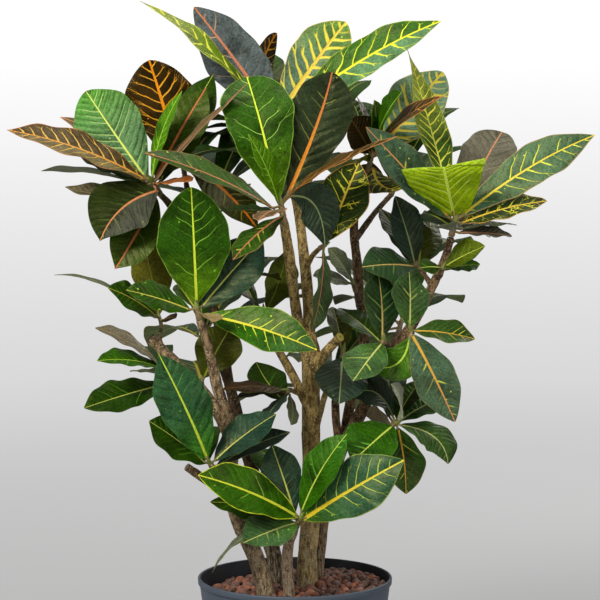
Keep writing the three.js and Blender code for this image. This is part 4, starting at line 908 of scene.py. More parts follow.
# "shoot" is the end of the shoot: [across, down, depth mm, diameter mm].
# "rear": [count, first bearing, last bearing, length mm, width mm, rise in degrees].
# "leaves": [look, base across, base down, tip across, tip down, tip depth mm, width mm, turn], and then
# the middle of the midrib, across, down and depth mm, where it isn't halfway. Turn 0 shows the upper
# face to the front, 90 is edge-on with the upper face to the sky, and 180 shows the underside.
CROWNS = {
    "crown_low_front": {
        "shoot": [300, 519, -76, 7], "rear": [2, 60, 120, 110, 46, 12], "leaves": [
            ["blue_gold", 306, 519, 404, 460, -112, 62, 14],
            ["gold_edge", 296, 515, 198, 475, -132, 56, 34],
            ["sea", 295, 525, 243, 543, -136, 52, 42],
            ["leafy", 302, 508, 347, 434, -92, 50, 40],
            ["blue", 291, 508, 272, 445, -58, 46, 18],
            ["grey", 291, 523, 212, 573, -62, 26, 76, 243, 537],
            ["deep", 292, 517, 210, 502, -54, 46, 54],
            ["deep", 305, 511, 330, 462, -46, 48, 40],
        ]},
    "crown_left_low": {
        "shoot": [210, 463, -88, 6], "rear": [1, 100, 100, 110, 46, 10], "leaves": [
            ["quilted", 206, 458, 159, 355, -108, 60, 18],
            ["deep", 203, 463, 149, 421, -124, 60, 46],
            ["blue", 217, 459, 276, 414, -70, 50, 44],
            ["dusk", 219, 466, 290, 432, -56, 44, 58],
            ["deep", 214, 468, 251, 474, -118, 34, 82],
        ]},
    "crown_left_middle": {
        "shoot": [197, 308, -60, 7], "rear": [2, 50, 118, 120, 48, 14], "leaves": [
            ["bright", 196, 301, 191, 187, -74, 80, 4],
            ["blue", 203, 307, 262, 238, -34, 58, 14],
            ["stroked", 212, 315, 317, 350, -112, 50, 26],
            ["spotted", 186, 311, 126, 290, -96, 48, 54],
            ["spotted", 192, 306, 178, 284, -34, 30, 40],
            ["beige", 203, 314, 212, 322, -118, 30, 60],
        ]},
    "crown_centre": {
        "shoot": [281, 204, -64, 7], "rear": [1, 95, 95, 120, 50, 20], "leaves": [
            ["broad", 277, 200, 247, 77, -26, 74, 6, 263, 132, -66],
            ["young", 277, 203, 248, 134, -98, 32, 58],
            ["dark_orange", 293, 186, 332, 72, -44, 70, 6, 317, 124],
            ["mottled", 271, 212, 145, 153, -128, 50, 68],
            ["mottled", 284, 217, 233, 260, -112, 44, 58],
            ["orange_edge", 290, 192, 398, 136, -112, 48, 81, 329, 166],
            ["dusk", 297, 190, 325, 246, -52, 50, 20, 316, 206],
            ["deep", 273, 213, 216, 212, -40, 44, 82],
            ["pink_edge", 283, 212, 258, 221, -150, 34, 78],
        ]},
    "crown_centre_twig": {
        "shoot": [325, 245, -38, 5], "leaves": [
            ["dark_net", 328, 239, 359, 163, -72, 56, 10],
            ["rosy", 323, 252, 311, 333, -50, 46, 66],
        ]},
    "crown_left_high": {
        "shoot": [152, 181, -20, 7], "rear": [2, 70, 140, 130, 50, 15], "leaves": [
            ["bronze", 143, 179, 7, 130, -62, 54, 58],
            ["sheen", 141, 175, 86, 91, -4, 74, 8],
            ["half_salmon", 161, 195, 100, 241, -74, 70, 24, 122, 207],
            ["red_rib", 156, 205, 115, 269, -56, 52, 12],
            ["red_rib", 158, 176, 206, 88, 8, 54, 18],
            ["young", 152, 177, 182, 91, -34, 34, 64],
            ["pink_edge", 159, 179, 247, 84, -52, 44, 82, 180, 148],
            ["deep", 163, 181, 213, 75, 38, 50, 24],
            ["deep", 142, 184, 76, 153, -8, 42, 58],
            ["tan", 141, 189, 65, 187, -36, 42, 70, 104, 192],
            ["grey", 142, 187, 41, 171, 14, 38, 98],
            ["pink_edge", 146, 172, 60, 117, 44, 38, 56],
            ["red_curl", 156, 186, 192, 181, -70, 40, 84],
        ]},
    "crown_left_high_rear": {
        "shoot": [183, 166, 48, 6], "rear": [2, 60, 125, 130, 50, 18], "leaves": [
            ["ember", 176, 158, 149, 60, 72, 80, 12, 164, 108],
            ["ember_green", 194, 163, 257, 228, 8, 50, 30],
        ]},
    "crown_right_high": {
        "shoot": [455, 221, -16, 7], "rear": [2, 55, 120, 125, 50, 15], "leaves": [
            ["fresh", 454, 212, 450, 183, -28, 92, 0, 444, 168, -70],
            ["gold_green", 464, 214, 595, 135, -34, 50, 26, 528, 168],
            ["teal_gold", 446, 216, 366, 127, -62, 52, 42, 411, 174],
            ["dark_net", 464, 225, 547, 201, -44, 44, 58],
            ["striped", 450, 204, 407, 48, 44, 48, 46, 433, 132, 26],
            ["brown_grey", 466, 201, 502, 132, 74, 64, 18],
            ["grey", 464, 230, 517, 225, 22, 36, 80],
            ["brown_grey", 463, 234, 512, 236, -12, 40, 72],
            ["deep", 460, 228, 484, 233, 80, 36, 58],
            ["deep", 449, 225, 424, 213, 62, 36, 40],
            ["grey", 453, 231, 434, 227, -72, 34, 110],
        ]},
    "crown_top": {
        "shoot": [275, 121, 70, 6], "rear": [3, 62, 150, 140, 54, 22], "leaves": [
            ["yellow_green", 260, 109, 140, 1, 4, 46, 70],
            ["slate", 267, 103, 194, 7, 64, 66, 8, 240, 66],
            ["netted", 282, 109, 346, 22, 72, 66, 8],
            ["lime_net", 293, 110, 441, 21, 40, 56, 42],
            ["ember", 266, 104, 277, 33, 112, 40, 60, 263, 70],
        ]},
    "crown_right_high_rear": {
        "shoot": [372, 156, 64, 6], "rear": [2, 72, 128, 130, 52, 20], "leaves": [
            ["netted_pale", 380, 150, 443, 72, 84, 66, 8],
            ["orange_edge", 379, 152, 444, 96, 12, 44, 76, 396, 123],
            ["lush", 373, 147, 374, 100, 30, 36, 66],
            ["lush", 376, 147, 402, 92, 22, 44, 58],
            ["olive_under", 381, 155, 429, 119, 60, 46, 128],
            ["brown", 369, 150, 350, 118, 34, 46, 30],
            ["brown", 374, 164, 360, 194, 74, 48, 160],
            ["olive", 368, 161, 342, 182, 18, 36, 74, 356, 160],
            ["dark_net", 376, 168, 410, 186, 4, 42, 50, 384, 186],
            ["brown", 370, 149, 357, 97, 56, 32, 76],
            ["sage", 368, 152, 351, 98, 96, 42, 44],
        ]},
    "sprout_right_branch": {
        "shoot": [443, 268, -46, 5], "leaves": [
            ["olive_vein", 446, 266, 485, 246, -60, 44, 56],
            ["lush", 446, 270, 480, 264, -40, 42, 66],
            ["deep", 438, 267, 420, 268, -56, 26, 50],
        ]},
    "sprout_right_branch_rear": {
        "shoot": [417, 265, 16, 5], "rear": [1, 60, 60, 115, 46, 10], "leaves": [
            ["cream_rib", 412, 267, 362, 267, -46, 50, 38],
            ["dusk", 413, 262, 395, 196, 8, 48, 40],
            ["olive", 420, 260, 417, 217, 40, 42, 40],
            ["olive", 423, 262, 429, 212, 66, 42, 48],
            ["olive", 409, 264, 380, 208, 46, 42, 56],
        ]},
    "crown_right_middle": {
        "shoot": [411, 330, -50, 5.5], "leaves": [
            ["teal_gold", 411, 335, 455, 422, -76, 50, 18],
            ["stroked_gold", 415, 331, 475, 339, -56, 44, 54],
            ["sea", 408, 326, 409, 272, -10, 50, 36],
            ["lush", 408, 340, 371, 365, -62, 48, 24, 397, 363],
        ]},
    "crown_right_stub": {
        "shoot": [384, 340, -44, 6], "leaves": [
            ["sea", 381, 345, 353, 381, -84, 52, 32],
            ["cream_rib", 381, 336, 378, 272, -24, 50, 34],
            ["deep", 378, 342, 339, 308, 12, 44, 54],
        ]},
    "crown_right_inner": {
        "shoot": [343, 352, -6, 6], "leaves": [
            ["dusk", 342, 358, 339, 404, -88, 58, 4],
            ["deep", 347, 355, 360, 385, -40, 40, 30],
            ["olive", 340, 350, 333, 307, 34, 42, 50],
        ]},
    "crown_right_low": {
        "shoot": [396, 423, -42, 6], "rear": [2, 72, 115, 110, 46, 5], "leaves": [
            ["leafy", 391, 427, 352, 462, -108, 60, 18],
            ["stroked_gold", 399, 430, 406, 494, -58, 50, 36],
            ["sage", 402, 426, 448, 464, -66, 50, 48, 435, 437],
            ["dusk", 392, 414, 345, 398, -40, 48, 44, 374, 391],
            ["deep", 398, 416, 423, 380, 6, 44, 48],
            ["sage", 402, 420, 440, 399, -4, 44, 50],
            ["pale", 400, 418, 391, 384, -80, 34, 78, 402, 401],
            ["tan", 391, 424, 366, 416, -14, 34, 126],
        ]},
    "crown_left_twig": {
        "shoot": [160, 319, -18, 4], "leaves": [
            ["spotted", 156, 316, 108, 288, -62, 48, 58],
            ["grey", 157, 315, 54, 275, -8, 18, 78, 101, 283],
            ["olive_under", 158, 312, 140, 235, 8, 54, 150],
            ["brown", 163, 320, 176, 318, -46, 20, 66],
        ]},
    "crown_left_low_rear": {
        "shoot": [166, 372, 10, 5], "rear": [1, 105, 105, 105, 44, 8], "leaves": [
            ["lush", 160, 366, 97, 361, -52, 42, 64],
            ["tan", 158, 363, 95, 328, -28, 38, 70],
            ["deep", 162, 390, 84, 408, -50, 50, 44],
            ["grey", 159, 375, 134, 371, 44, 36, 78],
        ]},
    "sprout_left_fork": {
        "shoot": [202, 383, -12, 5], "rear": [1, 100, 100, 110, 48, 5], "leaves": [
            ["olive", 205, 374, 232, 325, 0, 56, 22],
        ]},
    "sprout_main_trunk": {
        "shoot": [288, 390, -22, 5], "leaves": [
            ["brown", 283, 391, 222, 390, -58, 46, 73],
            ["dusk", 286, 396, 266, 419, -78, 36, 70],
            ["deep", 279, 407, 256, 362, 14, 50, 34],
            ["grey", 291, 397, 291, 425, -52, 24, 58],
            ["brown", 283, 395, 237, 398, -20, 38, 82],
        ]},
    "crown_centre_rear": {
        "shoot": [264, 313, 42, 6], "rear": [2, 70, 140, 115, 48, 12], "leaves": [
            ["olive_vein", 269, 308, 287, 250, 60, 46, 140],
            ["olive", 261, 307, 236, 291, 20, 42, 82],
        ]},
    "sprout_tall_right": {
        "shoot": [353, 283, 4, 5], "leaves": [
            ["grey", 350, 278, 328, 248, -4, 36, 56],
            ["grey", 348, 283, 313, 276, -18, 36, 64],
        ]},
    "crown_rear_left": {"shoot": [202, 331, 108, 6], "rear": [6, 12, 120, 135, 52, 16]},
    "crown_rear_left_high": {"shoot": [213, 192, 128, 6], "rear": [6, 30, 160, 140, 54, 24]},
    "crown_rear_high": {"shoot": [314, 154, 140, 6], "rear": [6, 20, 165, 140, 54, 26]},
    "crown_rear_right_high": {"shoot": [396, 184, 142, 6], "rear": [6, 12, 140, 135, 54, 20]},
    "crown_rear_centre": {"shoot": [329, 380, 112, 6], "rear": [6, 15, 165, 125, 50, 8]},
    "crown_rear_right": {"shoot": [401, 322, 104, 6], "rear": [6, 56, 168, 125, 50, 10]},
}

# Layout of a leaf, the same as in the solids: the foot of its stalk on the shoot, the base, middle and
# tip of its midrib, and the way that its upper face looks.
TOUCH_GAP = 0.3
SHOOT_COLLAR = 3
STALK_RANGE = (0.1, 0.92)
STALK_SINK = 1.4
UPRIGHT_LEAN = 0.35
BASE_SHARE = 0.15
BLADE_ARCH = 0.07
PETIOLE_LENGTH = 24
REAR_CLIMBS = (0, 26, -22)
REAR_FEET = (0.85, 0.65, 0.45)
REAR_LENGTHS = (1, 0.92)
REAR_ARCH = 1.6 * BLADE_ARCH
REAR_DROOP = 0.08
SOLID_ROWS = (0.22, 0.54, 0.83)
SMALL_SOLID_ROWS = (0.32, 0.76)
SMALL_BLADE = 45
SOLID_THICKNESS = 0.8
SOLID_TIP = 0.6
BEND_STEP = 7
SWING_LIMIT = 12
ROLL_LIMIT = 2
ROLL_COST = 1.6
SAME_PLACE = 0.05


def outline_share(along):
    """Half the outline's width along the blade, as a share of the full half width."""
    return np.sin(np.pi * along ** 1.15) ** (0.64 + 0.34 * along)


def shoot_path(name, shoot):
    """The shoot's start beside the wood, the end of its collar, and its tip."""
    end, heading = wood_ends[name][:2]
    start = end + heading * TOUCH_GAP
    return [start, start + heading * SHOOT_COLLAR, from_sheet(*shoot[:3])]


def stalk_foot(path, point):
    """The place on the shoot's side that is nearest to the base of a leaf."""
    stretch = path[2] - path[1]
    along = (point - path[1]).dot(stretch) / stretch.dot(stretch)
    axis = path[1] + stretch * min(max(along, STALK_RANGE[0]), STALK_RANGE[1])
    return axis + unit(point - axis) * STALK_SINK


def normal_for(base, tip, turn):
    """The upper face looks at the eye for a turn of 0 and rolls about the midrib towards the sky."""
    chord = unit(tip - base)
    sideways = unit(np.cross(chord, unit(EYE - base)))
    facing = unit(np.cross(sideways, chord))
    skyward = 1 if sideways[2] + UPRIGHT_LEAN * sideways[0] >= 0 else -1
    angle = math.radians(turn)
    return facing * math.cos(angle) + sideways * skyward * math.sin(angle)


def drawn_leaf(path, row, swing, roll):
    """The layout of a leaf from its row, with its tip swung in depth and its face rolled."""
    base_across, base_down, tip_across, tip_down, tip_depth, width, turn, *bow = row
    base_depth = path[2][1] + (tip_depth - path[2][1]) * BASE_SHARE
    base = from_sheet(base_across, base_down, base_depth)
    tip = from_sheet(tip_across, tip_down, tip_depth + swing)
    normal = normal_for(base, tip, turn + roll)
    if bow:
        middle_depth = bow[2] if len(bow) > 2 else (base_depth + tip_depth) / 2
        via = from_sheet(bow[0], bow[1], middle_depth + swing / 2)
    else:
        via = (base + tip) / 2 + normal * BLADE_ARCH * np.linalg.norm(tip - base)
    rows = SMALL_SOLID_ROWS if width < SMALL_BLADE else SOLID_ROWS
    return {"foot": stalk_foot(path, base), "base": base, "via": via, "tip": tip,
            "normal": normal, "width": width, "rows": rows}


def rear_leaf(path, rule, index, swing, lift):
    """The layout of one of the leaves behind a shoot, swung sideways and lifted."""
    count, first, last, length, width, rise = rule
    share = index / (count - 1) if count > 1 else 0
    bearing = math.radians(first + (last - first) * share)
    climb = math.radians(rise + REAR_CLIMBS[index % 3] + lift)
    foot = path[1] + (path[2] - path[1]) * REAR_FEET[index % 3]
    level = np.array([math.cos(bearing), math.sin(bearing), 0])
    heading = level * math.cos(climb) + np.array([0, 0, math.sin(climb)])
    sideways = np.array([-level[1], level[0], 0])
    normal = np.cross(heading, sideways)
    base = foot + heading * PETIOLE_LENGTH
    tip = base + heading * length * REAR_LENGTHS[index % 2] + sideways * swing
    via = (base + tip) / 2 + normal * REAR_ARCH * length
    tip = tip - np.array([0, 0, REAR_DROOP * length])
    return {"foot": foot + heading * STALK_SINK, "base": base, "via": via, "tip": tip,
            "normal": normal, "width": width, "rows": SMALL_SOLID_ROWS}


def midrib(leaf, along):
    """The point and the direction of the midrib at a share along it."""
    bend = 2 * leaf["via"] - 0.5 * leaf["base"] - 0.5 * leaf["tip"]
    rest = 1 - along
    point = leaf["base"] * rest * rest + bend * 2 * rest * along + leaf["tip"] * along * along
    slope = (bend - leaf["base"]) * 2 * rest + (leaf["tip"] - bend) * 2 * along
    return point, unit(slope)


def solid_corners(leaf):
    """The corners of the leaf's plain solid, which show where it was bent clear of the others."""
    side = unit(np.cross(unit(leaf["tip"] - leaf["base"]), leaf["normal"]))
    rows = [(leaf["base"], 0)]
    rows += [(midrib(leaf, along)[0], leaf["width"] / 2 * outline_share(along)) for along in leaf["rows"]]
    rows.append((leaf["tip"], SOLID_TIP))
    corners = []
    for index in range(1, len(rows)):
        centre, half = rows[index]
        after = rows[min(index + 1, len(rows) - 1)][0]
        tangent = unit(after - rows[index - 1][0])
        across = unit(side - tangent * side.dot(tangent))
        normal = np.cross(across, tangent)
        for reach in (-half, half):
            corners += [centre + across * reach + normal * SOLID_THICKNESS / 2 * level for level in (-1, 1)]
    return corners


def bendings():
    """The swings in millimetres and rolls in degrees that a leaf may take, the smallest first."""
    choices = [(swing * BEND_STEP, roll * BEND_STEP)
               for roll in range(-ROLL_LIMIT, ROLL_LIMIT + 1)
               for swing in range(-SWING_LIMIT, SWING_LIMIT + 1)]
    return sorted(choices, key=lambda choice: abs(choice[0]) + ROLL_COST * abs(choice[1]))


def node_places(name):
    """The corners of a solid in the frame, to be searched by place."""
    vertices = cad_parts[name].data.vertices
    tree = kdtree.KDTree(len(vertices))
    for index, vertex in enumerate(vertices):
        tree.insert(vertex.co / MM, index)
    tree.balance()
    return tree


def settled(places, make_leaf):
    """The leaf, swung and rolled as its solid stands in the frame."""
    most = -1
    for swing, roll in bendings():
        leaf = make_leaf(swing, roll)
        corners = solid_corners(leaf)
        found = sum(places.find(corner)[2] < SAME_PLACE for corner in corners)
        if found > most:
            most, best = found, leaf
        if found > len(corners) / 2:
            break
    return best


# Blade: a closed skin half a millimetre thick, folded along the midrib, waved at the margin and raised
# between the laterals. The midrib is a groove on the upper face and a round ridge underneath.
BLADE_THICKNESS = 0.55
EDGE_THINNING = 0.35
RIB_SPREAD = 1.6
RIB_DEPTHS = (1.5, 0.3)
GROOVE_DEPTH = 0.3
RIDGE_HEIGHT = 0.35
RIPPLE_HEIGHT = 0.02
RIPPLE_LENGTHS = (14, 5)
BLADE_COLUMNS = np.array([-1, -0.94, -0.8, -0.6, -0.4, -0.22, -0.08, 0, 0.08, 0.22, 0.4, 0.6, 0.8, 0.94, 1])
ROW_PITCH = 3.0
REAR_ROW_PITCH = 6.0
LATERAL_SLOPE = 0.72
LATERAL_CURL = 0.35
LATERAL_STAGGER = 0.27
FOLD_DEGREES = (7, 15)
CURLS = (-0.16, 0.02)
TWIST_DEGREES = (-9, 9)
WAVE_HEIGHTS = (0.03, 0.075)
WAVE_LENGTHS = (0.24, 0.4)
BULGES = (0.02, 0.06)
LATERAL_SPACING = (0.085, 0.105)
STALK_SIDES = 8
STALK_STEPS = 8
STALK_PROFILE = ((0, 0.12, 0.5, 0.9, 1), (2.2, 1.6, 1.35, 1.45, 0.9))
STALK_RISE = 0.35
STALK_END = 0.035
STALK_DROP = 0.4
UPPER, UNDERSIDE, STALK = 0, 1, 2
LEAF_MARKS = ("blade_tint", "rib_tint", "vein_tint", "edge_tint", "leaf_place", "leaf_pattern", "leaf_form")


def blade_share(along, look):
    """Half the blade's width along it, as a share: pointed, or with a round end for a blunt leaf."""
    rounded = math.sin(math.pi * along ** 1.35) ** 0.6
    share = outline_share(along) * (1 - look["blunt"]) + rounded * look["blunt"]
    return max(share, 0) ** look["fullness"]


def turned_about(vector, axis, angle):
    """A vector turned about an axis of length 1."""
    return (vector * math.cos(angle) + np.cross(axis, vector) * math.sin(angle)
            + axis * axis.dot(vector) * (1 - math.cos(angle)))


def blade(leaf, look, draw, pitch):
    """Points, faces, face materials and point markings of one blade."""
    length = np.linalg.norm(leaf["via"] - leaf["base"]) + np.linalg.norm(leaf["tip"] - leaf["via"])
    side = unit(np.cross(unit(leaf["tip"] - leaf["base"]), leaf["normal"]))
    half_width = leaf["width"] / 2
    fold = math.tan(math.radians(draw.uniform(*FOLD_DEGREES)))
    curl = draw.uniform(*CURLS)
    twist = math.radians(draw.uniform(*TWIST_DEGREES))
    wave_height = draw.uniform(*WAVE_HEIGHTS) * half_width
    wave_length = draw.uniform(*WAVE_LENGTHS) * length
    phases = (draw.uniform(0, 6.28), draw.uniform(0, 6.28))
    bulge = draw.uniform(*BULGES)
    spacing = draw.uniform(*LATERAL_SPACING) * length * look["pitch"]
    seed = draw.uniform(0, 50)
    count = max(12, round(length / pitch))
    step = np.arange(count + 1) / count
    shares = 0.7 * step + 0.3 * (0.5 - 0.5 * np.cos(np.pi * step))
    columns = BLADE_COLUMNS
    upper, lower, places, alongs = [], [], [], []
    for along in shares:
        centre, tangent = midrib(leaf, along)
        across = unit(side - tangent * side.dot(tangent))
        across = turned_about(across, tangent, twist * (along - 0.5))
        normal = np.cross(across, tangent)
        half = max(half_width * blade_share(min(along, 0.9999), look), 1.3 - 1.0 * along)
        far = along * length
        reach = np.abs(columns)
        lift = half * fold * (np.sqrt(reach ** 2 + 0.01) - 0.1 - 0.42)
        lift += half * curl * (reach ** 2 - 0.33)
        phase = np.where(columns < 0, *phases)
        ease = math.sin(math.pi * along) ** 0.5
        lift += wave_height * ease * reach ** 2.2 * np.sin(2 * np.pi * far / wave_length + phase)
        lateral = (far - half * reach * LATERAL_SLOPE) / spacing - LATERAL_CURL * reach ** 3
        lateral += np.where(columns < 0, -LATERAL_STAGGER, LATERAL_STAGGER)
        quilt = np.cos(2 * np.pi * lateral) * np.sin(np.pi * reach) * ease
        lift += RIDGE_HEIGHT * look["ridge"] * quilt * min(1.0, half / 20)
        groove = np.exp(-(columns * half / RIB_SPREAD) ** 2)
        rib = np.interp(along, (0, 1), RIB_DEPTHS) * groove
        swell = bulge * np.sin(far / RIPPLE_LENGTHS[0] + phase)
        ripple = RIPPLE_HEIGHT * np.sin(far / RIPPLE_LENGTHS[1] + 2 * phase)
        stretch = 1 + (swell + ripple) * reach
        base_points = centre + np.outer(columns * half * stretch, across) + np.outer(lift, normal)
        thick = BLADE_THICKNESS * (1 - EDGE_THINNING * reach)
        upper.append(base_points + np.outer(thick / 2 - GROOVE_DEPTH * groove * min(1, half / 4), normal))
        lower.append(base_points - np.outer(thick / 2 + rib * min(1, half / 4), normal))
        places.append(np.stack([columns * half, np.full(len(columns), far), half * (1 - reach)], 1))
        alongs.append(np.full(len(columns), along))
    wide = len(columns)
    total = (count + 1) * wide
    points = np.concatenate(upper + lower)
    faces = []
    kinds = []
    for row in range(count):
        for column in range(wide - 1):
            a = row * wide + column
            faces.append((a, a + 1, a + wide + 1, a + wide))
            faces.append((total + a, total + a + wide, total + a + wide + 1, total + a + 1))
            kinds += [UPPER, UNDERSIDE]
        for a, b in ((row * wide, (row + 1) * wide), ((row + 2) * wide - 1, (row + 1) * wide - 1)):
            faces.append((a, b, total + b, total + a))
            kinds.append(UPPER)
    for row, forward in ((0, False), (count, True)):
        for column in range(wide - 1):
            a, b = row * wide + column, row * wide + column + 1
            faces.append((a, b, total + b, total + a) if forward else (b, a, total + a, total + b))
            kinds.append(UPPER)
    marks = blade_marks(look, np.concatenate(places), np.concatenate(alongs), seed, spacing)
    return points, faces, kinds, marks


def all_points(count, code, share=1.0):
    """One colour for each of so many points, with a share in its fourth place."""
    return np.tile(colour(code, share), (count, 1))


def shaded(tint, target, share):
    """The colours of the points, turned towards another by a share that differs from point to point."""
    share = np.clip(share, 0, 1)[:, None]
    return tint * (1 - share) + np.array(target) * share


def blade_marks(look, places, alongs, seed, spacing):
    """Colours and shares of the markings for the points of the upper and then the lower face."""
    count = len(places)
    tint = all_points(count, look["blade"])
    if look["half"]:
        tint[places[:, 0] < -0.5] = colour(look["half"])
    for key, share in (("tip", (alongs - 0.45) / 0.5), ("foot", (0.45 - alongs) / 0.4)):
        if look[key]:
            tint = shaded(tint, colour(look[key]), share)
    tint[:, 3] = look["spots"]
    rib = all_points(count, look["rib"], look["rib_width"])
    if look["rib_tip"]:
        rib = shaded(rib, colour(look["rib_tip"], look["rib_width"]), (alongs - 0.3) / 0.6)
    pale_rib = (np.array(colour(look["rib"], 0.9)) + np.array(colour(look["under"], 0.9))) / 2
    pale_vein = np.array(colour(look["under"], 0.6)) * 1.25
    form = np.stack([alongs, np.full(count, look["ridge"]), np.full(count, look["vein_width"])], 1)
    return {
        "blade_tint": np.concatenate([tint, all_points(count, look["under"], 0.0)]),
        "rib_tint": np.concatenate([rib, np.tile(pale_rib, (count, 1))]),
        "vein_tint": np.concatenate([all_points(count, look["vein"], look["veins"]),
                                     np.tile(pale_vein, (count, 1))]),
        "edge_tint": np.concatenate([all_points(count, look["edge"], look["edging"]),
                                     all_points(count, look["edge"], look["edging"] * 0.6)]),
        "leaf_place": np.concatenate([places, places]),
        "leaf_pattern": np.tile((seed, spacing, look["net"]), (2 * count, 1)),
        "leaf_form": np.concatenate([form, form]),
    }


def plain_marks(count, code):
    """Markings of a stalk or shoot: its own colour alone."""
    tint = all_points(count, code, 0.0)
    return {mark: tint if mark.endswith("tint") else np.zeros((count, 3)) for mark in LEAF_MARKS}


def plain_tube(centres, radii, sides, code):
    """A tube of one colour, as points, faces, face materials and markings."""
    points, faces = tube(centres, radii, sides)
    return points, faces, [STALK] * len(faces), plain_marks(len(points), code)


def stalk(leaf, shoot_heading, look):
    """The leaf's stalk: a round tube that leaves the shoot and runs on under the blade as its midrib."""
    end, direction = midrib(leaf, STALK_END)
    end = end - np.cross(unit(np.cross(direction, leaf["normal"])), direction) * STALK_DROP
    foot = leaf["foot"]
    span = np.linalg.norm(end - foot)
    leaving = unit(unit(end - foot) + STALK_RISE * shoot_heading)
    centres = []
    radii = []
    for step in range(STALK_STEPS + 1):
        s = step / STALK_STEPS
        h00, h10 = 2 * s ** 3 - 3 * s ** 2 + 1, s ** 3 - 2 * s ** 2 + s
        h01, h11 = -2 * s ** 3 + 3 * s ** 2, s ** 3 - s ** 2
        centres.append(foot * h00 + leaving * span * h10 + end * h01 + direction * span * h11)
        radii.append(np.interp(s, *STALK_PROFILE))
    return plain_tube(centres, radii, STALK_SIDES, look["stalk"])


SHOOT_TINT = "#5f5434"
SHOOT_SIDES = 12
SHOOT_STEPS = 8
SHOOT_SWELLING = (0.2, 0.3)
SHOOT_SCARS = (0.35, -0.1)
BUD_TINT = "#6f8a34"
BUD_SIDES = 10
BUD_STEPS = (-1.0, 1.5, 4.0, 7.0, 10.0, 12.0)
BUD_SHARES = (1, 1.05, 0.95, 0.7, 0.35)
BUD_POINT = 0.2


def shoot_and_bud(path, radii):
    """The green shoot, ringed by old leaf scars, and the closed bud at its end."""
    heading = unit(path[2] - path[1])
    centres = [path[0], path[0] + (path[1] - path[0]) * 0.5]
    sizes = [radii[0], radii[0] * 0.98]
    for step in range(SHOOT_STEPS + 1):
        share = step / SHOOT_STEPS
        centres.append(path[1] + (path[2] - path[1]) * share)
        size = np.interp(share, (0, 1), (radii[1] + SHOOT_SWELLING[0], radii[2] + SHOOT_SWELLING[1]))
        sizes.append(size + SHOOT_SCARS[step % 2])
    tips = [path[2] + heading * far for far in BUD_STEPS]
    bud_radii = [radii[2] * share for share in BUD_SHARES] + [BUD_POINT]
    return [plain_tube(centres, sizes, SHOOT_SIDES, SHOOT_TINT),
            plain_tube(tips, bud_radii, BUD_SIDES, BUD_TINT)]


def together(tree, x, y, z):
    """A vector of three values."""
    return add_node(tree, "ShaderNodeCombineXYZ", {"X": x, "Y": y, "Z": z})[0]


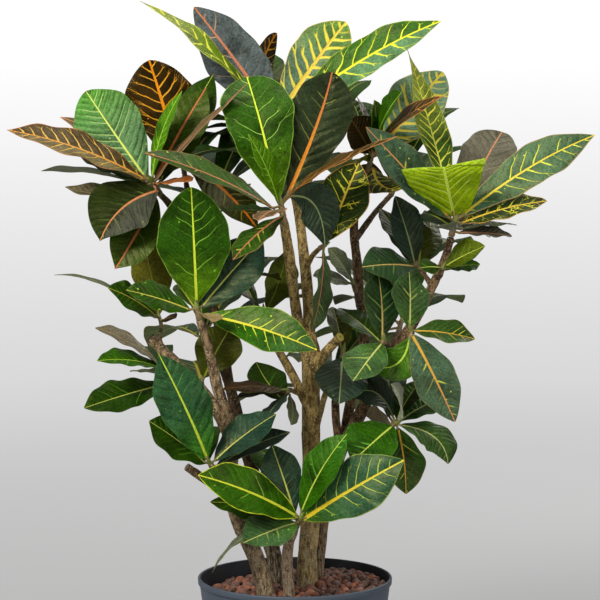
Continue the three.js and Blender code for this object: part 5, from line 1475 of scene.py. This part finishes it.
def vein_group():
    """Masks of the midrib, laterals, margin and specks, and the relief, from a leaf's own millimetres."""
    tree, given, result = pattern_group(
        "Leaf veins", ["Place", "Pattern", "Form"], ["Rib width", "Laterals", "Edging", "Spots"],
        ["Midrib", "Veins", "Faint veins", "Margin", "Specks", "Relief"])
    place, pattern, form = (split(tree, given[name]) for name in ("Place", "Pattern", "Form"))
    seed, spacing, net = pattern["X"], pattern["Y"], pattern["Z"]
    from_rib = sums(tree, "ABSOLUTE", place["X"])
    side = sums(tree, "SIGN", place["X"])
    half = sums(tree, "MAXIMUM", sums(tree, "ADD", from_rib, place["Z"]), 0.5)
    reach = sums(tree, "DIVIDE", from_rib, half)
    spot = together(tree, place["X"], place["Y"], product(tree, seed, 31.7))

    # Laterals: each runs out at a slant, has its own width, length and fork, and may be left out.
    wobble = sums(tree, "SUBTRACT", noise(tree, spot, 0.045, 1), 0.5)
    slanted = product(tree, from_rib, -LATERAL_SLOPE, place["Y"])
    phase = sums(tree, "DIVIDE", slanted, sums(tree, "MAXIMUM", spacing, 0.5))
    phase = product(tree, sums(tree, "POWER", reach, 3), -LATERAL_CURL, phase)
    phase = product(tree, side, LATERAL_STAGGER, phase)
    bent = product(tree, wobble, 0.7, sums(tree, "ADD", phase, 0.5))
    draw_place = together(tree, sums(tree, "FLOOR", bent), side, seed)
    lot = add_node(tree, "ShaderNodeTexWhiteNoise", {"Vector": draw_place}, {"noise_dimensions": "3D"})
    lots = add_node(tree, "ShaderNodeSeparateColor", {"Color": lot["Color"]})
    apart = sums(tree, "ABSOLUTE", sums(tree, "SUBTRACT", sums(tree, "FRACT", bent), 0.5))
    valley = ramp(tree, apart, 0.0, 0.42)
    opening = product(tree, lots["Green"], 0.25, 0.5)
    fork = product(tree, sums(tree, "MAXIMUM", sums(tree, "SUBTRACT", reach, opening), 0), 1.15)
    fork = sums(tree, "MINIMUM", product(tree, fork, ramp(tree, lots["Blue"], 0.25, 0.3)), 0.5)
    apart = sums(tree, "ABSOLUTE", sums(tree, "SUBTRACT", apart, fork))
    width = product(tree, ramp(tree, reach, 0, 1, 1.0, 0.38), product(tree, lots["Red"], 0.5, 0.62))
    ragged = product(tree, noise(tree, spot, 0.5, 2), 0.8, 0.6)
    width = product(tree, product(tree, width, form["Z"]), ragged)
    excess = sums(tree, "DIVIDE", product(tree, apart, spacing), sums(tree, "MAXIMUM", width, 0.05))
    line = ramp(tree, excess, 0.55, 1.45, 1.0, 0.0)
    shown = ramp(tree, sums(tree, "ADD", lots["Red"], given["Laterals"]), 0.9, 1.1)
    limit = product(tree, given["Laterals"], 0.45, product(tree, lots["Green"], 0.6, 0.25))
    within = ramp(tree, sums(tree, "SUBTRACT", reach, limit), -0.12, 0.0, 1.0, 0.0)
    drawn = product(tree, product(tree, line, shown), within)

    # Net: a few looks have patches where fine veins join up into cells.
    net_cells = cells(tree, spot, 0.16, "DISTANCE_TO_EDGE")
    mesh = ramp(tree, net_cells["Distance"], 0.02, 0.07, 1.0, 0.0)
    patch = ramp(tree, product(tree, net, 0.5, noise(tree, spot, 0.07, 1)), 0.6, 0.72)
    mesh = product(tree, product(tree, mesh, patch), ramp(tree, net, 0.0, 0.1))

    # Midrib: narrower towards the tip and a little uneven.
    rib = product(tree, ramp(tree, form["X"], 0, 1, 1.3, 0.55), given["Rib width"])
    rib = product(tree, rib, product(tree, noise(tree, spot, 0.3, 2), 0.5, 0.72))
    beyond = sums(tree, "DIVIDE", from_rib, sums(tree, "MAXIMUM", rib, 0.05))
    spine = ramp(tree, beyond, 0.8, 1.15, 1.0, 0.0)

    # Margin: a band of uneven width that is missing in places.
    border = product(tree, noise(tree, spot, 0.12, 2), 2.4, -0.3)
    outside = sums(tree, "DIVIDE", place["Z"], sums(tree, "MAXIMUM", border, 0.05))
    rim = product(tree, ramp(tree, outside, 0.6, 1.3, 1.0, 0.0), given["Edging"])

    # Specks: dots of different sizes in some cells of the pattern.
    dots = cells(tree, spot, 0.14)
    chance = add_node(tree, "ShaderNodeSeparateColor", {"Color": dots["Color"]})
    chosen = sums(tree, "ADD", chance["Red"], product(tree, given["Spots"], 0.5))
    size = product(tree, chance["Green"], 0.13, 0.05)
    speck = ramp(tree, sums(tree, "DIVIDE", dots["Distance"], size), 0.7, 1.2, 1.0, 0.0)
    speck = product(tree, speck, ramp(tree, chosen, 0.92, 0.96))

    # Relief: raised between the laterals, sunk along the veins, and softly uneven.
    height = product(tree, form["Y"], ramp(tree, reach, 0.02, 0.3))
    relief = product(tree, valley, product(tree, height, product(tree, lots["Blue"], 1.2, 0.3)))
    relief = product(tree, spine, -0.4, product(tree, line, -0.3, relief))
    relief = product(tree, noise(tree, spot, 0.09, 2), 1.1, relief)
    relief = product(tree, noise(tree, spot, 0.6, 3), 0.22, relief)
    feed(tree, result, {
        "Veins": sums(tree, "MAXIMUM", drawn, mesh), "Faint veins": line, "Midrib": spine, "Margin": rim,
        "Specks": product(tree, speck, ramp(tree, given["Spots"], 0, 0.1)), "Relief": relief})
    return tree


def mottling_group():
    """Pale and dark clouds, and pale and dark grain, of a living leaf."""
    masks = ["Cloud", "Pale cloud", "Dark cloud", "Pale grain", "Dark grain"]
    tree, given, result = pattern_group("Leaf mottling", ["Place"], ["Clouding"], masks)
    cloud = noise(tree, given["Place"], 34, 3, 0.55)
    grain = noise(tree, given["Place"], 420, 3, 0.7)
    feed(tree, result, {
        "Cloud": cloud, "Pale cloud": ramp(tree, cloud, 0.35, 0.75, 0.0, given["Clouding"]),
        "Dark cloud": ramp(tree, cloud, 0.5, 0.25, 0.0, given["Clouding"]),
        "Pale grain": ramp(tree, grain, 0.5, 0.72, 0.0, 0.65),
        "Dark grain": ramp(tree, grain, 0.5, 0.3, 0.0, 0.7)})
    return tree


leaf_veins = vein_group()
leaf_mottling = mottling_group()
LEAF_SHEEN = (1.0, 1.0, 0.45, 1.0)
LEAF_RELIEF = 0.0009
STALK_BLUSH = "#b08a62"


def leaf_skin(name, gloss, shine, faint, clouding):
    """One face of the leaves. Every leaf brings its own colours as markings on its points."""
    material, tree, shader, place = shader_material(name)
    own = {mark: marking(tree, mark) for mark in LEAF_MARKS}
    veins = pattern_in(tree, leaf_veins, {
        "Place": own["leaf_place"]["Vector"], "Pattern": own["leaf_pattern"]["Vector"],
        "Form": own["leaf_form"]["Vector"], "Rib width": own["rib_tint"]["Alpha"],
        "Laterals": own["vein_tint"]["Alpha"], "Edging": own["edge_tint"]["Alpha"],
        "Spots": own["blade_tint"]["Alpha"]})
    mottling = pattern_in(tree, leaf_mottling, {"Place": place, "Clouding": clouding})
    white, black = colour("#ffffff"), colour("#000000")
    vein = own["vein_tint"]["Color"]
    tint = layered(
        tree, own["blade_tint"]["Color"],
        (mottling["Pale cloud"], white, "SOFT_LIGHT"), (mottling["Dark cloud"], black, "SOFT_LIGHT"),
        (mottling["Pale grain"], white, "SOFT_LIGHT"), (mottling["Dark grain"], black, "SOFT_LIGHT"),
        (product(tree, veins["Faint veins"], faint), vein), (product(tree, veins["Specks"], 0.85), vein),
        (veins["Veins"], vein), (veins["Margin"], own["edge_tint"]["Color"]),
        (veins["Midrib"], own["rib_tint"]["Color"]))
    feed(tree, shader, {
        "Base Color": tint, "Roughness": product(tree, mottling["Cloud"], 0.2, gloss),
        "Specular IOR Level": shine, "Specular Tint": LEAF_SHEEN,
        "Normal": raised(tree, veins["Relief"], LEAF_RELIEF)})
    return material


def stalk_skin():
    """Stalks, shoots and buds: a colour from their points, clouded with brown."""
    material, tree, shader, place = shader_material("Leaf stalk")
    cloud = ramp(tree, noise(tree, place, 120, 3), 0.35, 0.7)
    tint = layered(tree, marking(tree, "blade_tint")["Color"],
                   (product(tree, cloud, 0.45), colour(STALK_BLUSH)))
    normal = raised(tree, noise(tree, place, 700, 2), 0.0002)
    feed(tree, shader, {"Base Color": tint, "Roughness": 0.5, "Normal": normal})
    return material


leaf_materials = [
    leaf_skin("Leaf upper face", 0.3, 0.24, 0.08, 0.55),
    leaf_skin("Leaf underside", 0.5, 0.15, 0.2, 0.35),
    stalk_skin(),
]
BASE_REACH = 0.45
SHOOT_TAPER = 0.8
COLLAR_STEP = 0.5
for number, (name, crown) in enumerate(CROWNS.items()):
    draw = random.Random(1000 + number)
    places = node_places(name)
    path = shoot_path(name, crown["shoot"])
    tip_radius = crown["shoot"][3] / 2
    collar_radius = max(tip_radius, wood_ends[name][2] - COLLAR_STEP)
    batches = shoot_and_bud(path, [collar_radius, tip_radius, tip_radius * SHOOT_TAPER])
    leaves = []
    for look_name, *row in crown.get("leaves", []):
        leaves.append((look_name, ROW_PITCH, partial(drawn_leaf, path, row)))
    rule = crown.get("rear", [0])
    for index in range(rule[0]):
        leaves.append((draw.choice(REAR_LOOKS), REAR_ROW_PITCH, partial(rear_leaf, path, rule, index)))
    for look_name, pitch, make_leaf in leaves:
        leaf = settled(places, make_leaf)
        look = LOOKS[look_name]
        leaf["base"] = leaf["base"] + (leaf["foot"] - leaf["base"]) * BASE_REACH
        batches.append(blade(leaf, look, draw, pitch))
        batches.append(stalk(leaf, unit(path[2] - path[1]), look))
    points, faces = joined([batch[:2] for batch in batches])
    kinds = [kind for batch in batches for kind in batch[2]]
    piece = new_piece(name + "_leaves", points, faces, leaf_materials, kinds, sharp=60)
    for mark in LEAF_MARKS:
        mark_points(piece, mark, np.concatenate([batch[3][mark] for batch in batches]))
    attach(piece, "root")
    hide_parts(name)

# Studio: a pale seamless floor that curves up into a pale round wall, both with a painted glow, brighter
# outward and with height, under a soft sky of light, with broad soft lamps in front and above. None of it
# belongs to the plant.
STAGE_FLAT = 2600.0
STAGE_EDGE = 5200.0
STAGE_WALL = 4200.0
STAGE_SEGMENTS = 96
STAGE_TONE = "#8b8b8d"
FLOOR_GLOW = (0.175, 0.505)
WALL_GLOW = 0.42
WALL_FILL = 0.6
GLOW_REACH = (0.7, 3.2)
GLOW_RISE = (0.05, 1.25)
CURVE_STEPS = 12


def stage_paint():
    """A painted glow, brighter outward on the floor and upward on the wall, and more so to the eye than to
    the plant.
    """
    material, tree, shader, place = shader_material("Studio wall")
    axes = split(tree, place)
    level = together(tree, axes["X"], axes["Y"], 0.0)
    reach = add_node(tree, "ShaderNodeVectorMath", {0: level}, {"operation": "LENGTH"})["Value"]
    glow = 0.0
    ranges = ((reach, *GLOW_REACH, *FLOOR_GLOW), (axes["Z"], *GLOW_RISE, 0.0, WALL_GLOW))
    for value, near, far, low, high in ranges:
        shares = {"Value": value, "From Min": near, "From Max": far, "To Min": low, "To Max": high}
        glow = sums(tree, "ADD", glow, add_node(tree, "ShaderNodeMapRange", shares)["Result"])
    rays = add_node(tree, "ShaderNodeLightPath", {})
    seen = product(tree, rays["Is Camera Ray"], 1 - WALL_FILL, WALL_FILL)
    seen = product(tree, rays["Is Glossy Ray"], -WALL_FILL, seen)
    light = layered(tree, colour("#000000"), (product(tree, glow, seen), colour("#ffffff")))
    feed(tree, shader, {"Base Color": colour(STAGE_TONE), "Roughness": 0.9, "Specular IOR Level": 0.1,
                        "Emission Color": light, "Emission Strength": 1.0})
    return material


stage_profile = [(STAGE_FLAT * share, 0.0) for share in (0.25, 0.5, 0.75, 1.0)]
for step in range(1, CURVE_STEPS + 1):
    angle = math.radians(90 * step / CURVE_STEPS)
    reach = STAGE_FLAT + (STAGE_EDGE - STAGE_FLAT) * math.sin(angle)
    stage_profile.append((reach, (STAGE_EDGE - STAGE_FLAT) * (1 - math.cos(angle))))
stage_profile.append((STAGE_EDGE, STAGE_WALL))
points, faces = turned(stage_profile, STAGE_SEGMENTS)
top_middle = len(points) - 1
faces = [tuple(reversed(face)) for face in faces if top_middle not in face]
studio = new_piece("studio_floor", points, faces, [stage_paint()])

LAMPS = {
    "key": {"place": (-1300, -1500, 2000), "size": 900, "power": 60},
    "fill": {"place": (1700, -1700, 1200), "size": 1500, "power": 13},
    "top": {"place": (300, 200, 2500), "size": 1300, "power": 19},
    "back": {"place": (900, 1700, 1500), "size": 1000, "power": 10},
}
PLANT_MIDDLE = Vector((0, 0, 0.48))
LAMP_WARMTH = (1.0, 0.98, 0.93)
SKY_TONE = (1.0, 0.99, 0.96, 1)
SKY_STRENGTH = 0.35
for name, lamp in LAMPS.items():
    light = bpy.data.lights.new(name + "_lamp", "AREA")
    light.shape = "DISK"
    light.size = lamp["size"] * MM
    light.energy = lamp["power"]
    light.color = LAMP_WARMTH
    holder = bpy.data.objects.new(name + "_lamp", light)
    holder.location = Vector(lamp["place"]) * MM
    holder.rotation_euler = (holder.location - PLANT_MIDDLE).to_track_quat("Z", "Y").to_euler()
    bpy.context.scene.collection.objects.link(holder)

world = bpy.data.worlds.new("Soft sky")
world.use_nodes = True
feed(world.node_tree, world.node_tree.nodes["Background"], {"Color": SKY_TONE, "Strength": SKY_STRENGTH})
bpy.context.scene.world = world
bpy.context.scene.view_settings.view_transform = "Standard"
